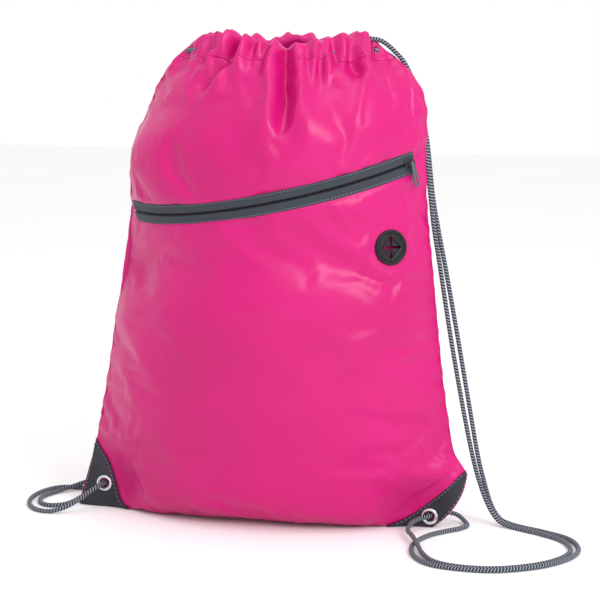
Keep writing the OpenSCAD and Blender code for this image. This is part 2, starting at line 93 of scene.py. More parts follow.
# Routes of the four free strands and the knots, as in the frame
RIGHT_FRONT_ROUTE = [
    (73, -9, 385), (80, -4, 386), (89, 1, 384), (99, 2, 376), (108, 2, 365), (117, 2, 343),
    (123, 2, 310), (128, 2, 265), (131, 2, 240), (136, 2, 210), (145, 2, 155), (155, 3, 100),
    (163, 5, 60), (169, 8, 36), (176, 12, 16), (184, 12, 5), (194, 8, 2), (206, 1, 2),
    (220, -7, 2), (238, -22, 2), (247, -42, 2), (247, -60, 2), (238, -80, 2), (222, -97, 2),
    (198, -110, 2), (172, -111, 2), (152, -102, 2), (140, -84, 2.5), (132, -66, 5.5),
    (125, -49, 6), (120, -38, 6), (119, -28, 7), (121, -19, 8.5), (125, -12, 9.5), (130, -6, 9.5),
    (132, 0, 9.5), (133, 6, 9.5)]
RIGHT_BACK_ROUTE = [
    (80, 11, 376), (87, 8, 376), (94, 6, 373), (100, 6, 368), (107, 6, 358), (117, 6, 338),
    (124, 6, 308), (129, 6, 265), (134, 5, 238), (140, 5, 208), (150, 5, 155), (160, 5, 100),
    (167, 7, 60), (172, 12, 36), (177, 18, 16), (184, 19, 5), (194, 15, 2), (206, 7, 2),
    (223, -2, 2), (243, -17, 2), (253, -40, 2), (252, -62, 2), (242, -83, 2), (225, -101, 2),
    (199, -115, 2), (171, -116, 2), (149, -109, 2), (135, -91, 2), (129, -70, 2), (130, -50, 2),
    (136, -32, 2), (146, -18, 2), (155, -8, 2), (160, 3, 2), (156, 13, 3), (149, 16, 7),
    (138, 13, 9.5)]
LEFT_FRONT_ROUTE = [
    (-58, -11, 376), (-64, -6, 376), (-69, 1, 375), (-73, 8, 371), (-77, 13, 363), (-82, 17, 350),
    (-90, 19, 330), (-98, 22, 300), (-106, 28, 250), (-112, 30, 190), (-118, 28, 140),
    (-128, 22, 90), (-138, 18, 50), (-146, 20, 26), (-154, 27, 10), (-166, 37, 3),
    (-182, 44, 2), (-198, 40, 2), (-207, 25, 2), (-209, 4, 2), (-203, -18, 2), (-191, -33, 2),
    (-178, -36, 2), (-166, -31, 5), (-156, -24, 11), (-148, -18, 17), (-143, -11, 20),
    (-142, -3, 20), (-142, 6, 20)]
LEFT_BACK_ROUTE = [
    (-51, 9, 385), (-57, 10, 384), (-63, 13, 380), (-69, 17, 373), (-75, 20, 363), (-80, 23, 350),
    (-88, 26, 330), (-95, 29, 295), (-101, 34, 240), (-106, 35, 190), (-113, 32, 140),
    (-123, 26, 90), (-132, 22, 50), (-139, 24, 26), (-147, 32, 12), (-158, 41, 8),
    (-172, 45, 8), (-186, 38, 4), (-196, 25, 2), (-201, 6, 2), (-196, -11, 2), (-186, -18, 2),
    (-176, -14, 2), (-171, -3, 2), (-168, 9, 3), (-159, 17, 8), (-149, 14, 16)]


# ---- small helpers ----
def lookup(z, table):
    """Smooth curve through a table of points: a cubic with the slopes of the neighbours."""
    xs = np.array([p[0] for p in table], float)
    ys = np.array([p[1] for p in table], float)
    z = np.clip(np.asarray(z, float), xs[0], xs[-1])
    slopes = np.gradient(ys, xs)
    i = np.clip(np.searchsorted(xs, z, side="right") - 1, 0, len(xs) - 2)
    h = xs[i + 1] - xs[i]
    t = (z - xs[i]) / h
    a = (1 + 2 * t) * (1 - t) ** 2 * ys[i] + t * (1 - t) ** 2 * h * slopes[i]
    b = t * t * (3 - 2 * t) * ys[i + 1] + t * t * (t - 1) * h * slopes[i + 1]
    return a + b


def smooth(t):
    """Smooth step from 0 to 1, level at both ends."""
    t = np.clip(t, 0.0, 1.0)
    return t * t * (3 - 2 * t)


def unit(v):
    v = np.asarray(v, float)
    return v / np.maximum(np.linalg.norm(v, axis=-1, keepdims=True), 1e-12)


def ring_angles(count):
    return np.linspace(0, 2 * math.pi, count, endpoint=False)


def run_along(line):
    """Distance from a line's start to each of its points."""
    return np.concatenate([[0], np.cumsum(np.linalg.norm(np.diff(line, axis=0), axis=1))])


def lean(z):
    return LEAN_TOP * np.clip(z / BAG_H, 0, 1) ** 2


def mesh_object(name, verts, faces, mat, uvs=None, loop_uvs=None, smooth_shade=True):
    """A mesh object from points in millimetres, with flat coordinates for each point or each face corner."""
    me = bpy.data.meshes.new(name)
    me.from_pydata([tuple(v) for v in np.asarray(verts, float) * MM], [], [tuple(int(i) for i in f) for f in faces])
    me.validate()
    me.materials.append(mat)
    if uvs is not None:
        loops = np.zeros(len(me.loops), np.int32)
        me.loops.foreach_get("vertex_index", loops)
        loop_uvs = np.asarray(uvs, np.float32)[loops]
    if loop_uvs is not None:
        me.uv_layers.new(name="flat").data.foreach_set("uv", np.asarray(loop_uvs, np.float32).ravel())
    me.polygons.foreach_set("use_smooth", [smooth_shade] * len(me.polygons))
    me.update()
    ob = bpy.data.objects.new(name, me)
    bpy.context.scene.collection.objects.link(ob)
    return ob


def apply_modifiers(ob):
    deps = bpy.context.evaluated_depsgraph_get()
    deps.update()
    me = bpy.data.meshes.new_from_object(ob.evaluated_get(deps))
    old = ob.data
    ob.modifiers.clear()
    ob.data = me
    bpy.data.meshes.remove(old)


def solidify(ob, thickness, offset):
    solid = ob.modifiers.new("solid", "SOLIDIFY")
    solid.thickness = thickness * MM
    solid.offset = offset


def mend(ob, weld=None):
    """Drops points that no face uses, or welds points closer than weld millimetres and turns the faces outwards."""
    bm = bmesh.new()
    bm.from_mesh(ob.data)
    if weld is None:
        bmesh.ops.delete(bm, geom=[v for v in bm.verts if not v.link_faces], context="VERTS")
    else:
        bmesh.ops.remove_doubles(bm, verts=bm.verts, dist=weld * MM)
        bmesh.ops.recalc_face_normals(bm, faces=bm.faces)
    bm.to_mesh(ob.data)
    bm.free()


def grid_faces(rows, cols, closed=False, flip=False, start=0):
    faces = []
    for i in range(rows - 1):
        for j in range(cols if closed else cols - 1):
            k = (j + 1) % cols
            low, high = start + i * cols, start + (i + 1) * cols
            f = (low + j, low + k, high + k, high + j)
            faces.append(f[::-1] if flip else f)
    return faces


def resample(points, step):
    """Catmull-Rom curve through the points, resampled at an even step."""
    p = np.asarray(points, float)
    q = np.vstack([2 * p[0] - p[1], p, 2 * p[-1] - p[-2]])
    t = np.linspace(0, 1, 24, endpoint=False)[:, None]
    out = []
    for i in range(1, len(q) - 2):
        a, b, c, d = q[i - 1], q[i], q[i + 1], q[i + 2]
        out.append(0.5 * (2 * b + (c - a) * t + (2 * a - 5 * b + 4 * c - d) * t ** 2
                          + (3 * b - a - 3 * c + d) * t ** 3))
    fine = np.vstack(out + [p[-1:]])
    s = run_along(fine)
    n = max(2, int(round(s[-1] / step)) + 1)
    even = np.linspace(0, s[-1], n)
    return np.stack([np.interp(even, s, fine[:, k]) for k in range(3)], 1), even


def frames_along(path):
    """Tangent and two cross directions that turn as little as they can along a path."""
    t = unit(np.gradient(path, axis=0))
    ref = np.array([0, 0, 1.0]) if abs(t[0][2]) < 0.9 else np.array([0, 1.0, 0])
    a = np.zeros_like(path)
    a[0] = unit(np.cross(t[0], ref))
    for i in range(1, len(path)):
        v = a[i - 1] - t[i] * np.dot(a[i - 1], t[i])
        a[i] = unit(v)
    return t, a, np.cross(t, a)


# ---- materials ----
class Shader:
    """A new material and the nodes that feed its Principled shader."""

    def __init__(self, name, **inputs):
        self.material = bpy.data.materials.new(name)
        self.material.use_nodes = True
        self.nodes = self.material.node_tree.nodes
        self.links = self.material.node_tree.links
        self.main = self.nodes["Principled BSDF"]
        self.fill(self.main, inputs)

    def fill(self, node, inputs):
        for key, value in inputs.items():
            socket = node.inputs[key.replace("_", " ")]
            if isinstance(value, bpy.types.NodeSocket):
                self.links.new(value, socket)
            else:
                socket.default_value = value

    def add(self, kind, output, **inputs):
        node = self.nodes.new(kind)
        self.fill(node, inputs)
        return node.outputs[output]

    def place(self):
        return self.add("ShaderNodeTexCoord", "Object")

    def flat(self):
        """The flat pattern's own coordinates, which are in metres."""
        uv = self.nodes.new("ShaderNodeUVMap")
        uv.uv_map = "flat"
        return uv.outputs[0]

    def colour(self, level, stops):
        """Base colour that runs through the stops as level goes from 0 to 1."""
        ramp = self.nodes.new("ShaderNodeValToRGB")
        marks = ramp.color_ramp.elements
        marks[0].position, marks[0].color = stops[0][0], (*stops[0][1], 1)
        marks[1].position, marks[1].color = stops[-1][0], (*stops[-1][1], 1)
        for at, colour in stops[1:-1]:
            marks.new(at).color = (*colour, 1)
        self.links.new(level, ramp.inputs["Fac"])
        self.links.new(ramp.outputs["Color"], self.main.inputs["Base Color"])

    def math(self, op, a, b=0.0):
        n = self.nodes.new("ShaderNodeMath")
        n.operation = op
        for socket, value in zip(n.inputs, (a, b)):
            if isinstance(value, (int, float)):
                socket.default_value = value
            else:
                self.links.new(value, socket)
        return n.outputs[0]

    def bump(self, height, strength, distance, **below):
        normal = self.add("ShaderNodeBump", "Normal", Height=height, Strength=strength, Distance=distance, **below)
        self.links.new(normal, self.main.inputs["Normal"])
        return normal

    def wave(self, vector, scale, direction):
        w = self.nodes.new("ShaderNodeTexWave")
        w.wave_type = "BANDS"
        w.bands_direction = direction
        self.fill(w, {"Vector": vector, "Scale": scale, "Distortion": 0.0, "Detail": 0.0})
        return w.outputs["Fac"]

    def weave(self, period):
        """Height of a plain weave whose threads are period metres apart."""
        flat, scale = self.flat(), 1.0 / period / math.pi
        return self.math("ADD", self.wave(flat, scale, "X"), self.wave(flat, scale, "Y"))


def satin_fabric(name, dark, main, light):
    sh = Shader(name, Roughness=0.33, Specular_IOR_Level=0.30, Sheen_Weight=0.05, Sheen_Roughness=0.3,
                Sheen_Tint=(1.0, 0.4, 0.7, 1))
    where = sh.place()
    cloud = sh.add("ShaderNodeTexNoise", "Fac", Vector=where, Scale=9.0, Detail=3.0, Roughness=0.5)
    sh.colour(cloud, [(0.3, dark), (0.5, main), (0.75, light)])
    crumple = sh.add("ShaderNodeTexNoise", "Fac", Vector=where, Scale=60.0, Detail=4.0, Roughness=0.55)
    fine = sh.bump(sh.weave(0.0006), 0.12, 0.00012)
    sh.bump(crumple, 0.10, 0.0015, Normal=fine)
    return sh.material


def tape_material():
    sh = Shader("woven_tape", Roughness=0.72, Specular_IOR_Level=0.2, Sheen_Weight=0.1, Sheen_Roughness=0.5)
    height = sh.weave(0.0008)
    sh.colour(height, [(0.3, (0.016, 0.020, 0.027)), (0.9, (0.046, 0.055, 0.070))])
    sh.bump(height, 0.6, 0.0002)
    return sh.material


CORD_PITCH = 2.4         # between the light plies along the cord
CORD_PLIES = 2           # of them round it
CORD_RELIEF = 0.05       # how far the plies stand out, as a share of the radius


def cord_material():
    """Twisted plies, light on near black; the flat coordinates are (turn, length in metres)."""
    sh = Shader("braided_cord", Roughness=0.6, Specular_IOR_Level=0.2)
    parts = sh.nodes.new("ShaderNodeSeparateXYZ")
    sh.links.new(sh.flat(), parts.inputs[0])
    turn = sh.math("MULTIPLY", parts.outputs[0], CORD_PLIES * 2 * math.pi)
    run = sh.math("MULTIPLY", parts.outputs[1], 2 * math.pi / (CORD_PITCH * MM))
    ply = sh.math("SINE", sh.math("ADD", turn, run))
    level = sh.math("ADD", sh.math("MULTIPLY", ply, 0.5), 0.5)
    fibres = sh.add("ShaderNodeTexNoise", "Fac", Scale=1600.0, Detail=2.0)
    mixed = sh.math("ADD", level, sh.math("MULTIPLY", fibres, 0.14))
    sh.colour(mixed, [(0.30, (0.018, 0.022, 0.030)), (0.60, (0.035, 0.042, 0.055)),
                      (0.84, (0.15, 0.17, 0.20)), (1.0, (0.30, 0.33, 0.38))])
    sh.bump(mixed, 0.4, 0.0003)
    return sh.material


def leather_material():
    sh = Shader("coated_corner", Roughness=0.5, Specular_IOR_Level=0.25)
    where = sh.place()
    cloud = sh.add("ShaderNodeTexNoise", "Fac", Vector=where, Scale=40.0, Detail=3.0)
    sh.colour(cloud, [(0.3, (0.020, 0.020, 0.026)), (0.7, (0.036, 0.036, 0.046))])
    sh.bump(sh.add("ShaderNodeTexVoronoi", "Distance", Vector=where, Scale=900.0), 0.35, 0.0003)
    return sh.material


def plain_material(name, colour, rough, metal=0.0, grain=400.0, strength=0.1, spread=0.15):
    sh = Shader(name, Roughness=rough, Metallic=metal, Specular_IOR_Level=0.3)
    noise = sh.add("ShaderNodeTexNoise", "Fac", Vector=sh.place(), Scale=grain, Detail=3.0)
    low = tuple(c * (1 - spread) for c in colour)
    high = tuple(min(1, c * (1 + spread)) for c in colour)
    sh.colour(noise, [(0.3, low), (0.7, high)])
    sh.bump(noise, strength, 0.0002)
    return sh.material


PINK = satin_fabric("pink_polyester", (0.48, 0.0035, 0.130), (0.53, 0.004, 0.150), (0.57, 0.005, 0.165))
TAPE = tape_material()
CORD = cord_material()
LEATHER = leather_material()
RUBBER = plain_material("port_rubber", (0.008, 0.009, 0.011), 0.5)
ENAMEL = plain_material("black_enamel", (0.035, 0.037, 0.044), 0.32, 0.6)
PULL = plain_material("pull_grey", (0.10, 0.11, 0.13), 0.4, 0.3)
STEEL = plain_material("bright_steel", (0.72, 0.73, 0.75), 0.22, 1.0, 200.0, 0.04, 0.04)
THREAD = plain_material("stitch_thread", (0.20, 0.22, 0.26), 0.7)
THREAD_PINK = plain_material("stitch_thread_pink", (0.66, 0.02, 0.22), 0.7)


# ---- the bag's surface ----
ZX = np.array([math.cos(ZIP_SLOPE), 0, math.sin(ZIP_SLOPE)])
ZY = np.array([-math.sin(ZIP_SLOPE) * math.sin(ZIP_TIP), math.cos(ZIP_TIP),
               math.cos(ZIP_SLOPE) * math.sin(ZIP_TIP)])
ZN = np.cross(ZX, ZY)
PINCH_FLAT_R = 8.0       # the corners lie flat round their eyelets
PINCH_FADE = 22.0


def zip_point(r, angle, h=0.0):
    """Point at radius r and an angle round the zip's centre, h up across the zip."""
    a = np.radians(np.asarray(angle, float))[..., None]
    r = np.asarray(r, float)[..., None]
    h = np.asarray(h, float)[..., None]
    return ZIP_C + r * (np.sin(a) * ZX - np.cos(a) * ZY) + h * ZN


def zip_height(u):
    """Height of the zip's centre line at u, which runs from -1 to 1 between the side seams."""
    return zip_point(ZIP_R, np.asarray(u, float) * ZIP_HALF_ANGLE)[..., 2]


def lens(side, u, z, inset=0.0):
    """Arc from seam to seam at height z; side is -1 for the front and 1 for the back."""
    w = lookup(z, SEAM_HALF_W) - 1.2 * inset
    d = lookup(z, DEPTH) - inset
    r = (w * w + d * d) / (2 * d)
    phi = np.arccos((r - d) / r)
    x = lean(z) + r * np.sin(u * phi) * np.where(u > 0, lookup(z, RIGHT_TUCK), 1.0)
    y = side * (r * np.cos(u * phi) - (r - d))
    return np.stack([x, y, z + 0 * x], -1)


def front_point(u, z, inset=0.0):
    """The front's arc, drawn onto the zip's cylinder near the zip."""
    p = lens(-1, u, z, inset)
    h = (z - zip_height(u)) / ZN[2]
    grip = 1 - smooth((np.abs(h) - 28) / 60)
    fade = 1 - smooth((np.abs(u) - 0.75) / 0.25)
    q = zip_point(ZIP_R - inset + 0 * u, u * ZIP_HALF_ANGLE)
    x = q[..., 0] + h * ZN[0] * fade
    y = q[..., 1] + h * ZN[1] * fade
    out = p.copy()
    out[..., 0] += grip * (x - p[..., 0])
    out[..., 1] += grip * (y - p[..., 1])
    return out


def corner_pinch(x, z):
    """1 round the eyelets, where the layers are riveted together, and 0 away from them."""
    c = np.zeros_like(np.asarray(x, float) + np.asarray(z, float))
    for ex, ez in EYELETS.values():
        d = np.maximum(0, np.hypot(x - ex, z - ez) - PINCH_FLAT_R)
        c = np.maximum(c, np.exp(-(d / PINCH_FADE) ** 2))
    return c


def bag_point(side, u, z, inset=0.0, k=1.0):
    """The finished smooth surface; k is the share of the full depth, and inset is measured inwards."""
    u, z, inset, k = np.broadcast_arrays(*(np.asarray(v, float) for v in (u, z, inset, k)))
    surface = front_point if side < 0 else (lambda a, b, c: lens(1, a, b, c))
    p, o = surface(u, z, inset), surface(u, z, 0 * inset)
    c = corner_pinch(p[..., 0], z) * smooth(k * 4)
    flat_y = side * (2.1 - inset + np.abs(o[..., 1]) * 0.02)
    y = p[..., 1] * k * (1 - c) + flat_y * c
    return np.stack([p[..., 0], y, z + inset * (1 - smooth(z / 15))], -1)


# ---- folds: lists of (x, z, depth, width) along each valley, and how strong its rims are ----
FRONT_FOLDS = [
    ([(7, 380, -2.2, 2.6), (12, 352, -2.4, 2.4), (17, 326, -2.0, 2.4), (27, 311, -1.8, 2.6), (35, 325, -2.0, 2.4),
      (39, 345, -2.4, 2.4), (38, 362, -2.4, 2.4), (35, 380, -2.2, 2.6)], 0.0),
    ([(66, 391, -1.6, 2.4), (73, 381, -2.2, 2.4), (79, 370, -2.6, 2.4), (82, 362, -2.4, 2.2), (80, 357, -2.0, 2.2),
      (74, 360, -1.4, 2.2), (64, 371, -1.2, 2.4), (54, 382, -1.2, 2.4)], 0.0),
    ([(-18, 391, -1.4, 2.4), (-32, 380, -2.0, 2.4), (-45, 369, -2.6, 2.4), (-51, 356, -2.4, 2.4),
      (-48, 345, -1.6, 2.6)], 0.0),
    ([(-44, 387, -1.4, 2.6), (-58, 380, -1.8, 2.6), (-68, 370, -1.8, 2.6), (-75, 357, -1.0, 2.6)], 0.0),
    ([(82, 352, -1.6, 3.0), (81, 335, -1.0, 4.0), (79, 318, -0.4, 5.0)], 0.0),
    ([(19, 392, 10, 5), (22, 368, 12, 5), (26, 345, 10, 6), (28, 322, 6, 8), (27, 313, 2, 8)], 0.45),
    ([(7, 392, 7, 4), (5, 378, 7, 4.5), (1, 366, 3, 5)], 0.35),
    ([(33, 392, 8, 4), (33, 376, 7, 4.5), (32, 363, 3, 5)], 0.35),
    ([(50, 392, 8, 4), (55, 380, 7, 5), (63, 371, 5, 5), (76, 360, 3, 4.5)], 0.5),
    ([(64, 392, 4, 6), (67, 379, 6, 6), (74, 367, 5, 5), (79, 359, 2, 4)], 0.3),
    ([(-15, 392, 6, 4), (-24, 374, 8, 4.5), (-36, 359, 7, 4.5), (-46, 347, 3, 5)], 0.5),
    ([(-32, 392, 4, 5), (-45, 369, 4, 5), (-50, 355, 2, 5)], 0.3),
    ([(-48, 390, 3, 4), (-64, 373, 4, 4), (-74, 358, 1.5, 4)], 0.3),
    ([(-3, 392, 5, 3.5), (-5, 381, 4, 3.5), (-8, 372, 1, 4)], 0.3),
    ([(44, 392, 5, 3), (43, 382, 4, 3.5), (44, 373, 1.5, 4)], 0.3),
    ([(86, 388, 3, 5), (95, 364, 3, 6), (100, 345, 1, 7)], 0.3),
    ([(60, 345, 1.5, 10), (68, 325, 2.5, 9), (80, 305, 1.5, 9)], 0.3),
    ([(-20, 345, 1, 14), (-12, 325, 2, 12), (0, 300, 1, 12)], 0.3),
    ([(112, 270, 1.5, 7), (84, 225, 3.0, 12), (60, 180, 2.5, 16), (44, 130, 1.0, 18)], 0.5),
    ([(96, 262, 1.5, 7), (58, 222, 2.4, 12), (30, 170, 1.8, 16)], 0.4),
    ([(118, 200, 1.0, 8), (108, 150, 2.2, 12), (92, 100, 1.6, 14)], 0.4),
    ([(-110, 215, 1.2, 8), (-86, 170, 2.0, 14), (-70, 110, 1.2, 16)], 0.4),
    ([(148, 84, 1.2, 4), (137, 68, 2.4, 4.5), (127, 57, 0.8, 5)], 0.6),
    ([(152, 68, 1.0, 4), (140, 62, 2.0, 4), (127, 55, 0.8, 5)], 0.5),
    ([(152, 50, 2.0, 2.6), (140, 38, 4.0, 2.8), (124, 25, 4.0, 2.8), (108, 13, 2.0, 3.0)], 0.5),
    ([(146, 84, -1.6, 2.4), (136, 70, -2.2, 2.4), (127, 57, -2.0, 2.4), (138, 62, -2.0, 2.4),
      (149, 69, -1.6, 2.4)], 0.0),
    ([(-40, 26, 1.2, 7), (-20, 18, 1.6, 6), (5, 13, 0.8, 6)], 0.4),
    ([(-100, 236, 0.8, 3.5), (-98, 224, 0.4, 4)], 0.3),
    ([(-60, 243, 0.8, 3.5), (-62, 230, 0.4, 4)], 0.3),
    ([(30, 252, 0.8, 4), (26, 238, 0.4, 5)], 0.3),
    ([(70, 300, 0.9, 4), (74, 316, 0.4, 5)], 0.3),
    ([(10, 283, 0.8, 4), (12, 298, 0.4, 5)], 0.3),
]


def back_folds():
    """Pleats at random below the back's hem, and three broad folds across the back."""
    folds = []
    for x in np.linspace(-46, 70, 15):
        x = x + RNG.uniform(-2.5, 2.5)
        reach = RNG.uniform(12, 60)
        drift = (x - 12) * reach / 90
        depth = RNG.uniform(4, 8)
        width = RNG.uniform(3.5, 5.0)
        folds.append(([(x, 392, depth, width), (x + drift * 0.4, 392 - reach * 0.5, depth * 0.8, width),
                       (x + drift, 392 - reach, depth * 0.25, width * 1.3)], 0.4))
    folds.append(([(-70, 300, 1.5, 12), (-30, 240, 2.4, 16), (10, 160, 1.4, 18)], 0.4))
    folds.append(([(100, 260, 1.4, 12), (60, 200, 2.2, 16), (30, 120, 1.4, 18)], 0.4))
    folds.append(([(-120, 130, 1.2, 10), (-90, 90, 2.0, 12), (-60, 60, 1.0, 12)], 0.4))
    return folds


def gathers(x, z, seed):
    """Small pleats where the drawn hem bunches the cloth, dying out below it."""
    rng = np.random.default_rng(seed)
    place = x + 3.0 * np.sin(x / 17.0 + seed) + 1.5 * np.sin(x / 7.3)
    fan = 1 + 0.0035 * (390 - z)
    wavy = np.sin((place - 12) / fan * 2 * math.pi / 12.5)
    strength = smooth((z - 352 - 9 * np.sin(x / 11.0 + rng.uniform(0, 6))) / 24)
    return 3.0 * wavy * strength


def fold_offset(x, z, folds):
    """How far the cloth stands out of its smooth shape, in millimetres."""
    total = np.zeros_like(x)
    for points, rims in folds:
        best = np.full(x.shape, 1e9)
        depth = np.zeros_like(x)
        width = np.ones_like(x)
        for (x0, z0, d0, w0), (x1, z1, d1, w1) in zip(points[:-1], points[1:]):
            dx, dz = x1 - x0, z1 - z0
            t = np.clip(((x - x0) * dx + (z - z0) * dz) / (dx * dx + dz * dz), 0, 1)
            dist = np.hypot(x - x0 - t * dx, z - z0 - t * dz)
            near = dist < best
            best = np.where(near, dist, best)
            depth = np.where(near, d0 + (d1 - d0) * t, depth)
            width = np.where(near, w0 + (w1 - w0) * t, width)
        total -= depth * np.exp(-(best / width) ** 2)
        total += depth * rims * np.exp(-((best - 1.9 * width) / (1.1 * width)) ** 2)
    return total


def ripples(x, z, seed):
    """Soft, shallow unevenness of stretched cloth."""
    rng = np.random.default_rng(seed)
    total = np.zeros_like(x)
    for i in range(14):
        length = rng.uniform(38, 110)
        angle = rng.uniform(0.2, 1.5)
        phase = rng.uniform(0, 2 * math.pi)
        total += length / 110 * np.sin((x * math.cos(angle) + z * math.sin(angle)) * 2 * math.pi / length + phase)
    return total * 0.16


RIM_Z = [(-72, 384), (-58, 388), (-36, 390), (-14, 387), (8, 384), (24, 382), (40, 384), (54, 388), (70, 390),
         (90, 386)]

# The cloth's grid: columns from seam to seam, and rows from the bottom up
NU = 120
BASE_ROWS = 9
POCKET_ROWS = 66
BAND_H = [-TAPE_H / 2 + 1.2, -3.5, 0.0, 3.5, TAPE_H / 2 - 1.2]
UPPER_ROWS = 42
HEM_ROWS = 6
# How far inside the outer layer, and below the rim, the rows of the hem's inner layer lie
INNER_HEM = ((1.2, -1.0), (3.6, -0.4), (5.6, 2.0), (6.4, 6.0), (6.8, 11.0))
INNER_SHARE = (0.1, 0.5, 0.9, 1.0, 1.0)
U = np.sin(np.linspace(-1, 1, NU + 1) * math.pi / 2 * 0.9) / math.sin(math.pi / 2 * 0.9)
BASE_H = 15.0            # height over which the bottom curves in to its seam


def surface_rows(side):
    """Levels of the cloth from the bottom seam to the rim, each as (heights over U, share of depth, inset)."""
    rows = []
    for s in np.linspace(0, 1, BASE_ROWS):
        if s < 0.5:
            rows.append((0.4 + 3.0 * s * np.abs(U) ** 12, 0.02 + s * 2 * 0.6, 0.0))
        else:
            a = (s - 0.5) * math.pi
            edge = 1.5 * np.abs(U) ** 12 * (1 - (s - 0.5) * 2)
            rows.append((0.4 + edge + 14.6 * (1 - math.cos(a)), 0.62 + 0.38 * math.sin(a), 0.0))
    band = [zip_height(U) + h * ZN[2] for h in BAND_H]
    for i in range(1, POCKET_ROWS):
        rows.append((BASE_H + (band[0] - BASE_H) * i / POCKET_ROWS, 1.0, 0.0))
    for b in band:
        rows.append((b, 1.0, 1.0 if side < 0 else 0.0))
    for i in range(1, UPPER_ROWS + 1):
        rows.append((band[-1] + (HEM_LOW - band[-1]) * i / UPPER_ROWS, 1.0, 0.0))
    if side > 0:
        rows = [levelled(*row) for row in rows]
    x_rim = lens(side, U, np.full(NU + 1, 386.0))[:, 0]
    rim = np.interp(x_rim, [p[0] for p in RIM_Z], [p[1] for p in RIM_Z])
    if side > 0:
        rim = rim + (387 + 1.5 * np.sin(x_rim / 9.0) - rim) * smooth((1 - np.abs(U)) / 0.2)
    for i in range(1, HEM_ROWS + 1):
        rows.append((HEM_LOW + (rim - HEM_LOW) * i / HEM_ROWS, 1.0, 0.0))
    return rows + [(rim - drop, 1.0, inset) for inset, drop in INNER_HEM]


def levelled(z, k, inset):
    """A row of the back, which has no zip: it runs straight between its ends at the side seams."""
    if k == 1.0:
        z = z[0] + (z[-1] - z[0]) * (U + 1) / 2
    return z, k, inset


def local_peak(values):
    """Smooth curve over the highest values within a few columns."""
    reach = 5
    span = 2 * reach + 1
    peak = np.max([np.roll(values, k) for k in range(-reach, reach + 1)], axis=0)
    return np.convolve(np.pad(peak, reach, "edge"), np.ones(span) / span, "valid")


DEEPEST_PLEAT = 12.0


def inner_hem_offset(outer):
    """The hem's inner layer stays behind the deepest folds of its outer layer."""
    deepest = np.minimum(outer.min(axis=0), 0)
    near = -local_peak(-deepest)
    near = np.maximum(near, -DEEPEST_PLEAT) * smooth((1 - np.abs(U)) / 0.07)
    return np.array([outer[-1] * (1 - t) + near * t for t in INNER_SHARE])


def cloth_grid(side, folds, seed):
    """One side's cloth: the smooth surface pushed out along its normals by folds, ripples and seam puckers."""
    rows = surface_rows(side)
    grid = np.stack([bag_point(side, U, z, inset, k) for z, k, inset in rows])
    du = np.gradient(grid, axis=1)
    dv = np.gradient(grid, axis=0)
    normal = unit(np.cross(du, dv)) * (1 if side < 0 else -1)
    rim_row = HEM_START + HEM_ROWS
    normal[rim_row + 1:] = normal[rim_row - 1]
    x, z = grid[..., 0], grid[..., 2]
    h = (z - zip_height(U)[None, :]) / ZN[2] if side < 0 else np.full_like(z, 99.0)
    free = smooth((np.abs(h) - TAPE_H / 2 + 1.5) / 10) if side < 0 else 1.0
    free = free * smooth((1 - np.abs(U))[None, :] / 0.07) * smooth((z - 4) / 14)
    free = free * (1 - corner_pinch(x, z))
    if side < 0:
        port = bag_point(side, PORT_U, PORT_Z)
        free = free * smooth((np.hypot(x - port[0], z - port[2]) - 10) / 14)
    off = (fold_offset(x, z, folds) + ripples(x, z, seed) + gathers(x, z, seed)) * free
    off[rim_row + 1:] = inner_hem_offset(off[HEM_START:rim_row + 1])
    hem = smooth((z - 345) / 30)
    from_seam = (1 - np.abs(U))[None, :]
    swell = 0.36 + 0.2 * np.sin(z / 41.0)
    puckers = swell * np.sin(z * 2 * math.pi / 17 + 1.5 * np.sin(z / 29.0))
    puckers = puckers * smooth((0.10 - from_seam) / 0.10) * (1 - hem)
    puckers = puckers * (1 - corner_pinch(x, z)) * smooth((z - 20) / 20)
    pull_rest = smooth(1.6 - np.abs(z - PULL_REST_Z) / 30) * smooth(-U[None, :] * 4 - 1)
    puckers = puckers * (1 - pull_rest)
    off = off - 0.5 * pull_rest * smooth(from_seam / 0.05) * free
    return grid + normal * (off + puckers)[..., None]


def flat_coords(grid):
    """Metres across and up the cloth, measured along the grid."""
    across = np.array([run_along(row) for row in grid])
    across = across - across[:, -1:] / 2
    up = np.array([run_along(column) for column in grid.transpose(1, 0, 2)]).T
    return np.stack([across, up], -1) * MM


# ---- the cloth: one closed tube, simulated, then cut into its panels ----
BASE_END = BASE_ROWS - 1
BAND_START = BASE_END + POCKET_ROWS
BAND_END = BAND_START + len(BAND_H) - 1
HEM_START = BAND_END + UPPER_ROWS
ROWS = HEM_START + HEM_ROWS + 6
SIM_FRAMES = 24
SIM_LIMIT = 9.0          # no point moves farther than this
PORT_PIN_R = 19.0
PORT_AT = bag_point(-1, PORT_U, PORT_Z)
PORT_OUT = unit(np.cross(bag_point(-1, PORT_U + 0.05, PORT_Z) - bag_point(-1, PORT_U - 0.05, PORT_Z),
                         bag_point(-1, PORT_U, PORT_Z + 8) - bag_point(-1, PORT_U, PORT_Z - 8)))


def welded_skin():
    """Both sides as one closed tube, with the number of each grid point in it."""
    front, back = cloth_grid(-1, FRONT_FOLDS, 3), cloth_grid(1, back_folds(), 5)
    n = NU + 1
    back[:, 0], back[:, -1] = front[:, 0], front[:, -1]
    back[0] = front[0] = (front[0] + back[0]) / 2 * [1, 0, 1]
    verts = front.reshape(-1, 3).tolist()
    front_id = np.arange(ROWS * n).reshape(ROWS, n)
    back_id = np.zeros_like(front_id)
    for i in range(ROWS):
        for j in range(n):
            if i == 0 or j in (0, n - 1):
                back_id[i, j] = front_id[i, j]
            else:
                back_id[i, j] = len(verts)
                verts.append(back[i, j].tolist())
    return np.array(verts), front_id, back_id


def skin_faces(ids, flip=False):
    flat = ids.ravel()
    return [tuple(flat[list(f)]) for f in grid_faces(*ids.shape, flip=flip)]


